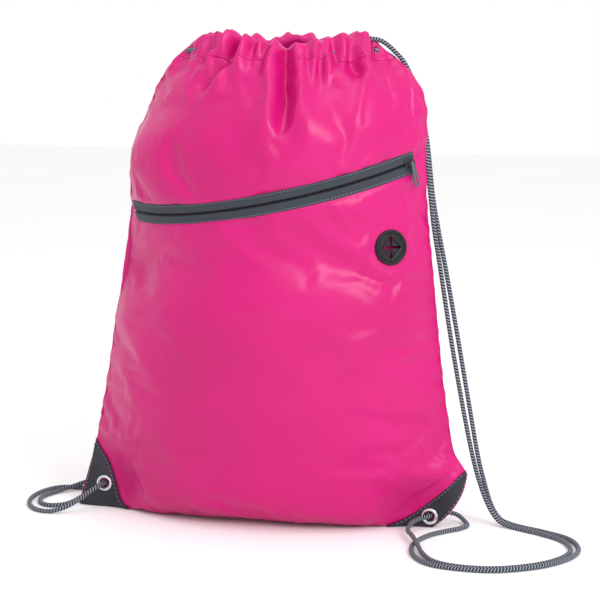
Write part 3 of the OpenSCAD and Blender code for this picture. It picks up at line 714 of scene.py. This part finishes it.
def pin_weights(verts, front_id, back_id):
    """1 where the cloth is held: seams, hem, zip, port, eyelets and patches."""
    w = np.zeros(len(verts))
    for ids in (front_id, back_id):
        w[ids[:3].ravel()] = 1
        w[ids[HEM_START:].ravel()] = 1
        w[ids[:, [0, NU]].ravel()] = 1
    w[front_id[BAND_START:BAND_END + 1].ravel()] = 1
    pinched = corner_pinch(verts[:, 0], verts[:, 2])
    w = np.maximum(w, smooth((pinched - 0.05) / 0.3))
    near_patch = (np.abs(verts[:, 0]) + verts[:, 2] > 168 - PATCH_LEG + 40) & (verts[:, 2] < PATCH_LEG)
    w[near_patch & (np.abs(verts[:, 0]) > 100)] = 1
    w[np.linalg.norm(verts - PORT_AT, axis=1) < PORT_PIN_R] = 1
    return w


def simulate(ob, weights, frames):
    """Blows the skin up with a little pressure, so that it relaxes between its pins."""
    group = ob.vertex_groups.new(name="pin")
    for value in np.unique(np.round(weights, 2)):
        if value > 0:
            group.add([int(i) for i in np.nonzero(np.round(weights, 2) == value)[0]], float(value), "REPLACE")
    mod = ob.modifiers.new("cloth", "CLOTH")
    st = mod.settings
    st.quality = 5
    st.mass = 0.12
    st.tension_stiffness = 40
    st.compression_stiffness = 40
    st.shear_stiffness = 8
    st.bending_stiffness = 0.35
    st.vertex_group_mass = "pin"
    st.shrink_min = -0.022
    st.use_pressure = True
    st.uniform_pressure_force = 4.0
    st.effector_weights.gravity = 0.0
    mod.collision_settings.use_collision = False
    mod.point_cache.frame_end = frames
    scene = bpy.context.scene
    scene.frame_start, scene.frame_end = 1, frames
    for f in range(1, frames + 1):
        scene.frame_set(f)
    apply_modifiers(ob)
    scene.frame_set(1)


VERTS, FRONT_ID, BACK_ID = welded_skin()
skin = mesh_object("skin", VERTS, skin_faces(FRONT_ID) + skin_faces(BACK_ID, flip=True), PINK)
simulate(skin, pin_weights(VERTS, FRONT_ID, BACK_ID), SIM_FRAMES)
moved = np.zeros(len(VERTS) * 3)
skin.data.vertices.foreach_get("co", moved)
shift = moved.reshape(-1, 3) / MM - VERTS
size = np.linalg.norm(shift, axis=1, keepdims=True)
VERTS = VERTS + shift * np.minimum(1, SIM_LIMIT / np.maximum(size, 1e-9))
bpy.data.objects.remove(skin)

FRONT = VERTS[FRONT_ID]
BACK = VERTS[BACK_ID]
FRONT_UV = flat_coords(FRONT)
BACK_UV = flat_coords(BACK)


def kept_faces(grid, flip, drop):
    """The grid's faces, less those whose centres drop() takes out."""
    faces = grid_faces(*grid.shape[:2], flip=flip)
    if drop is None:
        return faces
    centres = np.array([grid.reshape(-1, 3)[list(f)].mean(0) for f in faces])
    return [f for f, gone in zip(faces, drop(centres)) if not gone]


def panel(name, grid, uv, rows, cols, back_side=False, thickness=CLOTH_T, drop=None):
    """One cut panel of the skin, thickened inwards, with one level of subdivision."""
    rows, cols = slice(rows[0], rows[1] + 1), slice(cols[0], cols[1] + 1)
    part = grid[rows, cols]
    faces = kept_faces(part, back_side, drop)
    ob = mesh_object(name, part.reshape(-1, 3), faces, PINK, uv[rows, cols].reshape(-1, 2))
    mend(ob)
    sub = ob.modifiers.new("sub", "SUBSURF")
    sub.levels = sub.render_levels = 1
    solidify(ob, thickness, -1)
    apply_modifiers(ob)
    return ob


def eyelet_holes(centres, radius=EYELET_HOLE_R):
    near = [np.hypot(centres[:, 0] - ex, centres[:, 2] - ez) < radius for ex, ez in EYELETS.values()]
    return np.any(near, axis=0)


def pocket_holes(centres):
    """Eyelet and port holes, and the slot under the zip."""
    from_centre = centres - ZIP_C
    height = from_centre @ ZN
    angle = np.degrees(np.arctan2(from_centre @ ZX, -(from_centre @ ZY)))
    slot = (height > -4.6) & (np.abs(angle) < TAPE_HALF_ANGLE - 1.5)
    port = np.linalg.norm(centres - PORT_AT, axis=1) < PORT_HOLE_R
    return eyelet_holes(centres) | port | slot


SLIT = 3                 # columns left open at each end of the hem, where the cords come out
ALL_COLS, HEM_COLS = (0, NU), (SLIT, NU - SLIT)
HEM_SPAN = (HEM_START, ROWS - 1)
pocket = panel("pocket_front", FRONT, FRONT_UV, (0, BAND_END - 1), ALL_COLS, drop=pocket_holes)
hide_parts("pocket_front_panel")
upper = panel("upper_front", FRONT, FRONT_UV, (BAND_END - 1, HEM_START), ALL_COLS)
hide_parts("upper_front_panel")
back = panel("back_cloth", BACK, BACK_UV, (0, HEM_START), ALL_COLS, back_side=True, drop=eyelet_holes)
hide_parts("back_panel")
front_hem = panel("front_hem", FRONT, FRONT_UV, HEM_SPAN, HEM_COLS)
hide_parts("front_hem_channel")
back_hem = panel("back_hem", BACK, BACK_UV, HEM_SPAN, HEM_COLS, back_side=True)
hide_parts("back_hem_channel")


def lining():
    """The pocket's back wall, hanging slack a little behind its front."""
    us = U * 0.965
    grid = []
    for z, k, _ in surface_rows(-1)[:BAND_END + 1]:
        z = np.interp(us, U, z)
        deep = 2.2 + 4.3 * smooth((z - 40) / 110)
        grid.append(bag_point(-1, us, z, deep, k))
    grid = np.array(grid)
    loose = 1 - corner_pinch(grid[..., 0], grid[..., 2])
    grid[..., 1] += ripples(grid[..., 0], grid[..., 2], 11) * 0.6 * loose
    grid[..., 2] = np.maximum(grid[..., 2], 2.4)
    return panel("pocket_back", grid, flat_coords(grid), (1, BAND_END), ALL_COLS, thickness=LINING_T,
                 drop=eyelet_holes)


pocket_back = lining()
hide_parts("pocket_lining")


SEAM_DEPTHS = np.array([0.6, 2.4, 4.4, 6.6])


def seam_strip(name, column, sx):
    """Seam allowance inside one side, gathered a little by its overlock."""
    edge = FRONT[BASE_ROWS + 16:HEM_START, column]
    fine, s = resample(edge, 2.0)
    rows = []
    for depth in SEAM_DEPTHS:
        p = fine.copy()
        p[:, 0] -= sx * depth
        p[:, 1] += 0.35 * depth / SEAM_DEPTHS[-1] * np.sin(s * 2 * math.pi / 9.0)
        rows.append(p)
    grid = np.array(rows)
    uv = np.stack(np.broadcast_arrays(SEAM_DEPTHS[:, None] * MM, s[None, :] * MM), -1)
    ob = mesh_object(name, grid.reshape(-1, 3), grid_faces(*grid.shape[:2]), PINK, uv.reshape(-1, 2))
    solidify(ob, 0.9, 0)
    apply_modifiers(ob)
    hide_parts(name.replace("_allowance", "_seam"))
    return ob


left_seam = seam_strip("left_side_allowance", 0, -1)
right_seam = seam_strip("right_side_allowance", NU, 1)


# ---- strips, stitches, lathed parts and tubes ----
def ring_faces(count, size, closed=False):
    """Faces between rings of size points each, ring after ring."""
    faces = []
    for i in range(count if closed else count - 1):
        a, b = i * size, (i + 1) % count * size
        faces += [(a + k, a + (k + 1) % size, b + (k + 1) % size, b + k) for k in range(size)]
    return faces


def box_strip(name, paths, mat, uv):
    """Closed band whose long edges are given, in order round its section."""
    n, m = len(paths[0]), len(paths)
    faces = []
    for a in range(m):
        b = (a + 1) % m
        faces += [(a * n + i, a * n + i + 1, b * n + i + 1, b * n + i) for i in range(n - 1)]
    faces.append(tuple(a * n for a in range(m)))
    faces.append(tuple(a * n + n - 1 for a in range(m))[::-1])
    return mesh_object(name, np.concatenate(paths), faces, mat, uv)


# One stitch, as (share of its length, share of its radius, rise) at each of its rings
STITCH = [(0.0, 0.35, -0.55), (0.2, 0.85, 0.0), (0.5, 1.0, 0.28), (0.8, 0.85, 0.0), (1.0, 0.35, -0.55)]
STITCH_SIDES = 6


def stitches(name, line, normal, mat, length, gap, radius):
    """A row of thread stitches along a line that lies on a surface."""
    line = np.asarray(line, float)
    s = run_along(line)

    def at(place, table=line):
        return np.array([np.interp(place, s, table[:, k]) for k in range(3)])

    verts, faces = [], []
    last = (len(STITCH) - 1) * STITCH_SIDES
    for s0 in np.arange(gap, s[-1] - length, length + gap):
        first = len(verts)
        for t, r, up in STITCH:
            middle = s0 + t * length
            n = unit(at(middle, normal))
            side = unit(np.cross(n, at(middle + 0.4) - at(middle - 0.4)))
            for a in ring_angles(STITCH_SIDES):
                verts.append(at(middle) + n * (up * radius * 1.6 + math.sin(a) * r * radius)
                             + side * math.cos(a) * r * radius)
        faces += [tuple(first + i for i in f) for f in ring_faces(len(STITCH), STITCH_SIDES)]
        faces.append(tuple(first + a for a in reversed(range(STITCH_SIDES))))
        faces.append(tuple(first + last + a for a in range(STITCH_SIDES)))
    ob = mesh_object(name, verts, faces, mat)
    return ob


def lathe(name, profile, place, mat, segments=64):
    """Closed outline of (radius, height) points turned about the local Z axis."""
    verts = [place(np.array([r * math.cos(a), r * math.sin(a), h]))
             for a in ring_angles(segments) for r, h in profile]
    m = len(profile)
    faces = [(k * m + i, k2 * m + i, k2 * m + (i + 1) % m, k * m + (i + 1) % m)
             for k, k2 in ((k, (k + 1) % segments) for k in range(segments)) for i in range(m)]
    return mesh_object(name, verts, faces, mat)


def tube(name, path, radius, mat, sides=16, relief=0.0, closed=False):
    """Round tube along a path, with the shallow ridges of its plies on it."""
    _, a, b = frames_along(path)
    s = run_along(path)
    n = len(path)
    verts = []
    for i, p in enumerate(path):
        for ang in ring_angles(sides):
            r = radius * (1 + relief * math.sin(CORD_PLIES * ang + 2 * math.pi * s[i] / CORD_PITCH))
            verts.append(p + a[i] * math.cos(ang) * r + b[i] * math.sin(ang) * r)
    faces = ring_faces(n, sides, closed)
    loop_uv = []
    for i in range(n if closed else n - 1):
        low, high = s[i] * MM, (s[i] + 1.0 if i == n - 1 else s[i + 1]) * MM
        for k in range(sides):
            near, far = k / sides, (k + 1) / sides
            loop_uv += [(near, low), (far, low), (far, high), (near, high)]
    if not closed:
        for first, order, at in ((0, 1, s[0]), ((n - 1) * sides, -1, s[-1])):
            faces.append(tuple(first + k for k in range(sides))[::-order])
            loop_uv += [(k / sides, at * MM) for k in range(sides)][::-order]
    return mesh_object(name, verts, faces, mat, loop_uvs=loop_uv)


# ---- zip ----
TAPE_T = 0.7
ANGLES = np.linspace(-TAPE_HALF_ANGLE, TAPE_HALF_ANGLE, 190)
TAPE_HEIGHTS = [1.3, 1.9, 3.2, 5.2, 7.0, TAPE_H / 2 - 0.5, TAPE_H / 2]
TAPE_RAISED = [0.25, 0.55, 0.15, 0.05, 0.1, 0.25, -0.1]


def zip_tape(name, sy):
    """One side's tape, rolled up at its inner edge and slightly wavy."""
    s = ANGLES / 360 * 2 * math.pi * ZIP_R
    paths = [zip_point(ZIP_R + TAPE_T / 2 + lift + 0.12 * np.sin(s / 5.1 + h), ANGLES, sy * h + 0 * ANGLES)
             for h, lift in zip(TAPE_HEIGHTS, TAPE_RAISED)]
    paths += [zip_point(ZIP_R - TAPE_T / 2 + 0 * ANGLES, ANGLES, sy * h + 0 * ANGLES) for h in TAPE_HEIGHTS[::-1]]
    uv = np.concatenate([np.stack([s * MM, np.full_like(s, h * MM)], 1) for h in TAPE_HEIGHTS + TAPE_HEIGHTS[::-1]])
    ob = box_strip(name, paths if sy > 0 else paths[::-1], TAPE, uv)
    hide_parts(name + "_tape")


COIL_PITCH = 1.25
COIL_END = 1.2           # degrees between the coil's end and the tape's
# Rings of one coil turn, as (height across the zip, rise, half width)
COIL_TURN = ((-0.35, 0.0, 0.40), (0.3, 0.55, 0.56), (1.2, 0.45, 0.56), (1.9, -0.1, 0.44))
COIL_HALF_T = 0.42


def zip_coil(name, sy):
    """Coil turns of one side, each a small bead that curls over the tape's edge."""
    step = math.degrees(COIL_PITCH / ZIP_R)
    verts, faces = [], []
    for a in np.arange(-TAPE_HALF_ANGLE + COIL_END, TAPE_HALF_ANGLE - COIL_END, step):
        a = a + sy * 0.25 * step
        first = len(verts)
        for h, r, w in COIL_TURN:
            for da, dr in ((-w, 0.0), (0, COIL_HALF_T), (w, 0.0), (0, -COIL_HALF_T)):
                verts.append(zip_point(ZIP_R - 0.45 + r * 0.6 + dr, a + math.degrees(da / ZIP_R), sy * (h + 0.35)))
        faces += [tuple(first + i for i in f) for f in ring_faces(4, 4)]
        faces.append((first + 3, first + 2, first + 1, first))
        faces.append((first + 12, first + 13, first + 14, first + 15))
    ob = mesh_object(name, np.array(verts), faces, ENAMEL)
    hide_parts(name.replace("_teeth", "_coil"))


zip_tape("upper_zip", 1)
zip_tape("lower_zip", -1)
zip_coil("upper_zip_teeth", 1)
zip_coil("lower_zip_teeth", -1)


def zip_stitches(name, h):
    ang = np.linspace(-TAPE_HALF_ANGLE + 0.5, TAPE_HALF_ANGLE - 0.5, 300)
    line = zip_point(ZIP_R + TAPE_T / 2 + 0.28, ang, h + 0 * ang)
    a = np.radians(ang)[:, None]
    stitches(name, line, np.sin(a) * ZX - np.cos(a) * ZY, THREAD, 2.2, 0.9, 0.25)


for row, height in (("top", TAPE_H / 2 - 1.6), ("bottom", -TAPE_H / 2 + 1.6)):
    zip_stitches("zip_stitches_" + row, height)


def plate_with_hole(name, outline, hole, half_t, bevel, place, mat):
    """Flat plate with rounded edges; outline and hole are matched point for point."""
    centre = hole.mean(0)
    rings = []
    for pts, sign in ((outline, 1), (hole, -1)):
        v = pts - centre
        drawn_in = centre + v * (1 - sign * bevel / np.linalg.norm(v, axis=1, keepdims=True))
        ring = [(drawn_in, half_t), (pts, half_t - bevel), (pts, -half_t + bevel), (drawn_in, -half_t)]
        rings += ring[::sign]
    verts = [place(np.array([p[0], p[1], t])) for pts, t in rings for p in pts]
    faces = [(a, d, c, b) for a, b, c, d in ring_faces(len(rings), len(outline), closed=True)]
    return mesh_object(name, verts, faces, mat)


SLIDE = math.radians(SLIDER_ANGLE)
OUT = math.sin(SLIDE) * ZX - math.cos(SLIDE) * ZY
ALONG = math.cos(SLIDE) * ZX + math.sin(SLIDE) * ZY
PLATE_R = ZIP_R + TAPE_T / 2 + 0.3
BRIDGE_R = PLATE_R + 3.6


def at_slider(p):
    """Local X along the zip, Y up across it, Z out of the bag from the zip's centre line."""
    return ZIP_C + OUT * (ZIP_R + p[2]) + ALONG * p[0] + ZN * p[1]


def slider_plate(name, z0, z1, half_l, wide, narrow):
    """Plate with a broad split end and a narrower closed end, and softened edges."""
    n = 48
    ang = ring_angles(n)
    x = np.sign(np.cos(ang)) * np.abs(np.cos(ang)) ** 0.6 * half_l
    half_w = wide + (narrow - wide) * (x + half_l) / (2 * half_l)
    y = np.sign(np.sin(ang)) * np.abs(np.sin(ang)) ** 0.6 * half_w
    verts = []
    e = 0.28
    levels = [(0.02, z0), (0.86, z0), (1.0, z0 + e), (1.0, z1 - e), (0.86, z1), (0.02, z1 + 0.1)]
    for k, z in levels:
        verts += [at_slider((a * k, b * k, z)) for a, b in zip(x, y)]
    faces = ring_faces(len(levels), n)
    faces.append(tuple(reversed(range(n))))
    faces.append(tuple((len(levels) - 1) * n + i for i in range(n)))
    return mesh_object(name, verts, faces, ENAMEL)


top_plate = slider_plate("slider_top", 0.65, 1.8, 5.0, 4.3, 3.4)
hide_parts("zip_slider")
low_plate = slider_plate("slider_under", -3.9, -2.8, 4.6, 3.7, 3.0)
post = slider_plate("slider_post", -2.9, 0.8, 1.2, 0.42, 0.34)
BRIDGE = [(-3.4, 1.2), (-3.4, 2.6), (-2.9, 3.7), (-1.8, 4.25), (0, 4.35), (1.8, 4.25), (2.9, 3.7), (3.4, 2.6),
          (3.4, 1.2)]
bridge_line, _ = resample([at_slider((x, 0, z)) for x, z in BRIDGE], 0.5)
bridge = tube("slider_bridge", bridge_line, 0.8, ENAMEL, 14)
for ob in (top_plate, low_plate, post, bridge):
    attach(ob, "zip_slider")

PULL_HOLE = (0.0, -13.4)


def pull_outline(n=96):
    """Half widths down the pull: a narrow eye, a waist and a broad rounded end."""
    ys = [2.0, 1.4, 0, -2, -4.5, -7, -11, -15, -16.8, -17.8, -18.2]
    ws = [0.0, 1.2, 1.6, 1.35, 1.7, 2.3, 2.65, 2.7, 2.2, 1.2, 0.0]
    y = np.interp(np.linspace(0, 1, 400), np.linspace(0, 1, len(ys)), ys)
    w = np.interp(y[::-1], ys[::-1], ws[::-1])[::-1]
    pts = np.concatenate([np.stack([w, y], 1), np.stack([-w[::-1], y[::-1]], 1)])
    s = run_along(pts)
    even = np.linspace(0, s[-1], n, endpoint=False)
    return np.stack([np.interp(even, s, pts[:, 0]), np.interp(even, s, pts[:, 1])], 1)


outline = pull_outline()
away = np.arctan2(outline[:, 1] - PULL_HOLE[1], outline[:, 0] - PULL_HOLE[0])
hole = np.stack([PULL_HOLE[0] + 1.15 * np.cos(away), PULL_HOLE[1] + 2.5 * np.sin(away)], 1)
pull_at = BRIDGE_R - ZIP_R + 0.45
pull = plate_with_hole("zip_pull_tab", outline, hole, 0.55, 0.22,
                       lambda p: at_slider((p[0], p[1], pull_at + p[2])), PULL)
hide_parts("zip_pull")
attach(pull, "zip_pull")

# ---- earphone port ----
PORT_X = unit(np.array([-PORT_OUT[1], PORT_OUT[0], 0]))
PORT_Y = np.cross(PORT_OUT, PORT_X)
SKIN_TOP = 1.5           # height of the membrane over the cloth
SKIN_T = 1.0
HINGE_REACH = 8.4        # a flap's corners lie this far out along the slits
HINGE_ROOM = 0.45        # gap to the membrane, measured the same way
SLIT_HALF_W = 0.95
FLAP_TOP = 1.05          # the membrane dips to the flaps
FLAP_T = 0.6
FLAP_ROOT_TOP = 0.7      # thin at the root, so that the flaps can bend both ways
FLAP_ROOT = 0.935        # where that thinning starts


# Section of the rim, as (distance in from the port's edge, height)
PORT_BEAD = [(0, 0.2), (0, 1.2), (0.35, 1.95), (1.0, 2.3), (1.65, 2.05), (2.1, 1.5), (2.4, 1.05), (2.9, 1.05),
             (3.1, 1.4), (3.3, SKIN_TOP), (3.7, SKIN_TOP), (3.7, SKIN_TOP - SKIN_T), (1.4, 0.2)]


def at_port(p):
    return PORT_AT + PORT_X * p[0] + PORT_Y * p[1] + PORT_OUT * p[2]


def port_ring():
    """Beaded rim with a groove inside it, and a membrane round the crossed slits."""
    ring = lathe("port_rim", [(PORT_R - r, h) for r, h in PORT_BEAD], at_port, RUBBER, 96)
    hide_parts("earphone_port_ring")
    ang = ring_angles(160)
    way = np.stack([np.cos(ang), np.sin(ang)], 1)
    outer = way * (PORT_R - 3.6)
    hole = way * ((HINGE_REACH + HINGE_ROOM) / np.abs(way).sum(1))[:, None]

    def dished(p):
        rise = (SKIN_TOP - FLAP_TOP) * smooth(math.hypot(p[0], p[1]) - HINGE_REACH - HINGE_ROOM)
        return at_port((p[0], p[1], FLAP_TOP + rise - SKIN_T / 2 + p[2]))

    disc = plate_with_hole("port_membrane", outer, hole, SKIN_T / 2, 0.04, dished, RUBBER)
    return ring, disc


def port_flap(name, quarter):
    """One quarter between the slits, thinning a little towards its tip."""
    g, l = SLIT_HALF_W, HINGE_REACH - 2 * SLIT_HALF_W
    turn = quarter * math.pi / 2
    rows = 9
    top, low = [], []
    for i in range(rows):
        for j in range(rows):
            root = i == rows - 1
            a, b = 1 if root else i / (rows - 2) * FLAP_ROOT, j / (rows - 1)
            x, y = g + l * a * (1 - b), g + l * a * b
            dip = 0.15 * (1 - a) ** 2
            q = (x * math.cos(turn) - y * math.sin(turn), x * math.sin(turn) + y * math.cos(turn))
            top.append(at_port((*q, FLAP_ROOT_TOP if root else FLAP_TOP - dip)))
            low.append(at_port((*q, FLAP_TOP - FLAP_T + dip)))
    n = rows * rows
    faces = grid_faces(rows, rows) + grid_faces(rows, rows, flip=True, start=n)
    loop = [i * rows for i in range(rows)] + [(rows - 1) * rows + j for j in range(1, rows)]
    loop += [i * rows + rows - 1 for i in range(rows - 2, 0, -1)]
    faces += [(a, b, n + b, n + a) for a, b in zip(loop, loop[1:] + loop[:1])]
    ob = mesh_object("port_flap_" + name, np.array(top + low), faces, RUBBER)
    mend(ob, weld=0.01)
    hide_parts("earphone_port_" + name + "_flap")
    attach(ob, "port_" + name + "_flap")
    return ob


port_pieces = list(port_ring())
for quarter, name in enumerate(("upper_right", "upper_left", "lower_left", "lower_right")):
    port_pieces.append(port_flap(name, quarter))

# ---- CAD nodes that stay, with finished materials ----
KEPT = {"left_zip_stop": ENAMEL, "right_zip_stop": ENAMEL, "earphone_port_backing": RUBBER}
for name, mat in KEPT.items():
    me = frame["nodes"][name].data
    me.materials.clear()
    me.materials.append(mat)


# ---- corner patches ----
PATCH_FOOT = 1.2
# Inner edge of the left (-1) and right (1) patches, from the side seam down to the bottom, as (x, z)
PATCH_EDGES = {
    -1: [(-149, 57), (-142, 48), (-137, 40), (-132.5, 24), (-127, 8), (-118, 1.2)],
    1: [(158, 47), (150, 40), (137.5, 27), (120.5, 13), (112, 8), (97, 1.2)],
}


def patch_grid(side, sx, inset, rows=26, cols=24):
    """Points from the inner edge (first) to the side seam (last), on the bag's surface."""
    edge = np.array(PATCH_EDGES[sx], float)
    fine, _ = resample(np.column_stack([edge, np.zeros(len(edge))]), 1.0)
    order = np.argsort(fine[:, 1])
    grid = []
    for t in np.linspace(0, 1, rows):
        z = PATCH_FOOT + (edge[0, 1] - PATCH_FOOT) * t
        x_in = np.interp(z, fine[order, 1], fine[order, 0])
        us = np.linspace(u_for_x(side, x_in, z), sx * 0.988, cols)
        k = min(1.0, 0.62 + 0.38 * math.sqrt(1 - (1 - min(z, BASE_H) / BASE_H) ** 2))
        grid.append(bag_point(side, us, np.full(cols, z), -inset, k))
    grid = np.array(grid)
    grid[..., 2] = np.maximum(grid[..., 2], 0.3)
    return grid


def u_for_x(side, x, z):
    """Where on the arc at height z the surface reaches x."""
    us = np.linspace(-1, 1, 801)
    xs = bag_point(side, us, np.full(801, z), 0.0)[:, 0]
    return float(np.interp(x, xs, us))


def corner_patch(name, side, sx):
    grid = patch_grid(side, sx, 0.5)
    faces = kept_faces(grid, side * sx > 0, lambda c: eyelet_holes(c, PATCH_HOLE_R))
    ob = mesh_object(name, grid.reshape(-1, 3), faces, LEATHER, flat_coords(grid).reshape(-1, 2))
    mend(ob)
    solidify(ob, LEATHER_T, 1)
    bevel = ob.modifiers.new("bevel", "BEVEL")
    bevel.width = 0.25 * MM
    bevel.segments = 2
    bevel.limit_method = "ANGLE"
    apply_modifiers(ob)
    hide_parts(name + "_corner_patch")
    surface = patch_grid(side, sx, 1.5)
    outward = np.zeros((surface.shape[0] - 2, 3))
    outward[:, 1] = side
    for row, column in (("_inner_stitches", 1), ("_outer_stitches", -3)):
        stitches(name + row, surface[1:-1, column], outward, THREAD, 2.4, 1.3, 0.3)


for label, side in (("front", -1), ("back", 1)):
    for hand, sx in (("left", -1), ("right", 1)):
        corner_patch(label + "_" + hand, side, sx)


# ---- eyelets ----
EYELET_BEAD = [(5.3 - 1.44 * math.cos(a), 4.2 + 1.25 * math.sin(a)) for a in np.linspace(0.0, math.pi, 14)]
EYELET_BARREL = [(6.95, 4.15), (4.85, 4.1), (4.8, -4.3), (5.4, -4.8), (5.2, -5.3), (4.6, -5.4), (4.0, -5.0)]
WASHER = [(4.95, -4.1), (6.7, -4.1), (6.95, -4.3), (6.8, -4.65), (6.2, -4.8), (4.95, -4.75)]


def eyelet(hand, ex, ez):
    """The eyelet's rolled front and barrel, and the washer that it is set in behind."""
    for part, profile, node in (("_eyelet_rolled", EYELET_BEAD + EYELET_BARREL, "_eyelet"),
                                ("_washer_rolled", WASHER, "_eyelet_washer")):
        ob = lathe(hand + part, profile, lambda p: np.array([ex + p[0], -p[2], ez + p[1]]), STEEL)
        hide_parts(hand + node)


for hand, (ex, ez) in EYELETS.items():
    eyelet(hand, ex, ez)


# ---- cords ----
KNOT_SIZE = 1.15
KNOT_DEPTH = 1.6
KNOT_Y = 11.2            # behind the eyelet's washer


def knot_line(ex, ez):
    """A trefoil behind the eyelet."""
    t = ring_angles(110)
    x = np.sin(t) + 2 * np.sin(2 * t)
    z = np.cos(t) - 2 * np.cos(2 * t)
    return np.stack([ex + KNOT_SIZE * x, KNOT_Y - KNOT_DEPTH * np.sin(3 * t), ez + KNOT_SIZE * z], 1)


def in_hem(side, sx, height):
    """Line of a drawcord inside the gathered hem, from its own side to the other, behind the deepest folds."""
    below_rim, inset, every = 5.0, 3.9, 3
    grid = FRONT if side < 0 else BACK
    cols = np.arange(SLIT + 4, NU - SLIT - 3)
    rim = grid[HEM_START + HEM_ROWS, cols, 2]
    level = np.minimum(height, -local_peak(-rim) - below_rim)
    share = (level - HEM_LOW) / (rim - HEM_LOW) * HEM_ROWS
    low = np.clip(share.astype(int), 0, HEM_ROWS - 1)
    t = (share - low)[:, None]
    cloth = grid[HEM_START + low, cols] * (1 - t) + grid[HEM_START + low + 1, cols] * t
    plain = lens(side, U[cols], level, 0.0)
    depth = side * (plain[:, 1] - cloth[:, 1])
    line = lens(side, U[cols] * 0.985, level, inset)
    line[:, 1] -= side * np.clip(local_peak(depth), 0, DEEPEST_PLEAT)
    return line[::-sx][::every]


def hem_cord(name, sx, z_front, z_back, start, end):
    turn = [lens(-1, np.array(-sx * 0.95), (z_front + z_back) / 2, 3.0)]
    parts = [[start], in_hem(-1, sx, z_front), turn, in_hem(1, sx, z_back)[::-1], [end]]
    line, _ = resample(np.concatenate([np.atleast_2d(p) for p in parts]), 1.3)
    ob = tube(name, line, CORD_D / 2 - 0.3, CORD, 14, CORD_RELIEF)
    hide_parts(name.replace("_pull_hem", "_cord_in_hem"))


CORDS = [("left", "front", LEFT_FRONT_ROUTE), ("left", "back", LEFT_BACK_ROUTE),
         ("right", "front", RIGHT_FRONT_ROUTE), ("right", "back", RIGHT_BACK_ROUTE)]
for hand, (ex, ez) in EYELETS.items():
    tube(hand + "_knot", knot_line(ex, ez), CORD_D / 2, CORD, 14, CORD_RELIEF, closed=True)
    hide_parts(hand + "_cord_knot")
for hand, which, route in CORDS:
    line, s = resample(route, 0.7)
    strand = tube(hand + "_" + which + "_strand", line, CORD_D / 2, CORD, 16, CORD_RELIEF)
    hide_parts(hand + "_cord_" + which + "_strand")
# The two cords pass each other at two heights in each hem
LOW_CORD_Z, HIGH_CORD_Z = 375.5, 381.5
hem_cord("left_pull_hem", -1, LOW_CORD_Z, HIGH_CORD_Z, LEFT_FRONT_ROUTE[0], LEFT_BACK_ROUTE[0])
hem_cord("right_pull_hem", 1, HIGH_CORD_Z, LOW_CORD_Z, RIGHT_FRONT_ROUTE[0], RIGHT_BACK_ROUTE[0])

# ---- hem stitching, on the cloth itself ----
for label, grid, side in (("front", FRONT, -1), ("back", BACK, 1)):
    row = grid[HEM_START + 1, SLIT:NU - SLIT + 1]
    du = np.gradient(row, axis=0)
    dv = grid[HEM_START + 2, SLIT:NU - SLIT + 1] - row
    out = unit(np.cross(du, dv)) * (1 if side < 0 else -1)
    stitches(label + "_hem_stitches", row + out * 0.1, out, THREAD_PINK, 2.2, 1.0, 0.2)

# ---- floor, lights, camera ----
FLOOR_M = plain_material("studio_floor", (0.93, 0.93, 0.93), 0.85, 0.0, 3.0, 0.0, 0.005)


def floor():
    n, reach = 28, 3500
    xs = np.linspace(-reach, reach, n)
    verts = [(x, y, 0.0) for y in xs for x in xs]
    ob = mesh_object("floor", np.array(verts), grid_faces(n, n), FLOOR_M, smooth_shade=False)


def softbox(name, place, size, power):
    lamp = bpy.data.lights.new(name, "AREA")
    lamp.shape = "RECTANGLE"
    lamp.size, lamp.size_y = size
    lamp.energy = power
    ob = bpy.data.objects.new(name, lamp)
    bpy.context.scene.collection.objects.link(ob)
    ob.location = place
    ob.rotation_euler = (LIT_POINT - Vector(place)).to_track_quat("-Z", "Y").to_euler()


floor()
LIT_POINT = Vector((0, 0, 0.2))
softbox("key", (1.25, -1.15, 1.1), (0.55, 0.8), 17)
softbox("top", (0.2, -0.5, 1.7), (0.9, 0.6), 5)

world = bpy.data.worlds.new("studio")
bpy.context.scene.world = world
world.use_nodes = True
background = world.node_tree.nodes["Background"]
background.inputs["Color"].default_value = (1, 1, 1, 1)
background.inputs["Strength"].default_value = 1.0
bpy.context.scene.view_settings.view_transform = "Standard"

AZIMUTH, ELEVATION, DISTANCE = math.radians(14), math.radians(9), 1.6
AIM_RIGHT, AIM_UP = 0.023, 0.178
TARGET = Vector((AIM_RIGHT * math.cos(AZIMUTH), AIM_RIGHT * math.sin(AZIMUTH), AIM_UP))
cam_data = bpy.data.cameras.new("camera")
cam_data.lens = 120
cam_data.sensor_width = 36
cam = bpy.data.objects.new("camera", cam_data)
bpy.context.scene.collection.objects.link(cam)
look = Vector((math.sin(AZIMUTH) * math.cos(ELEVATION), -math.cos(AZIMUTH) * math.cos(ELEVATION),
               math.sin(ELEVATION)))
cam.location = TARGET + look * DISTANCE
cam.rotation_euler = (-look).to_track_quat("-Z", "Y").to_euler()
bpy.context.scene.camera = cam

# Every piece that doesn't move on its own rides on the bag
for ob in bpy.data.objects:
    if ob.type == "MESH" and ob.name not in frame["nodes"] and ob.name != "floor" and "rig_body" not in ob:
        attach(ob, "bag")
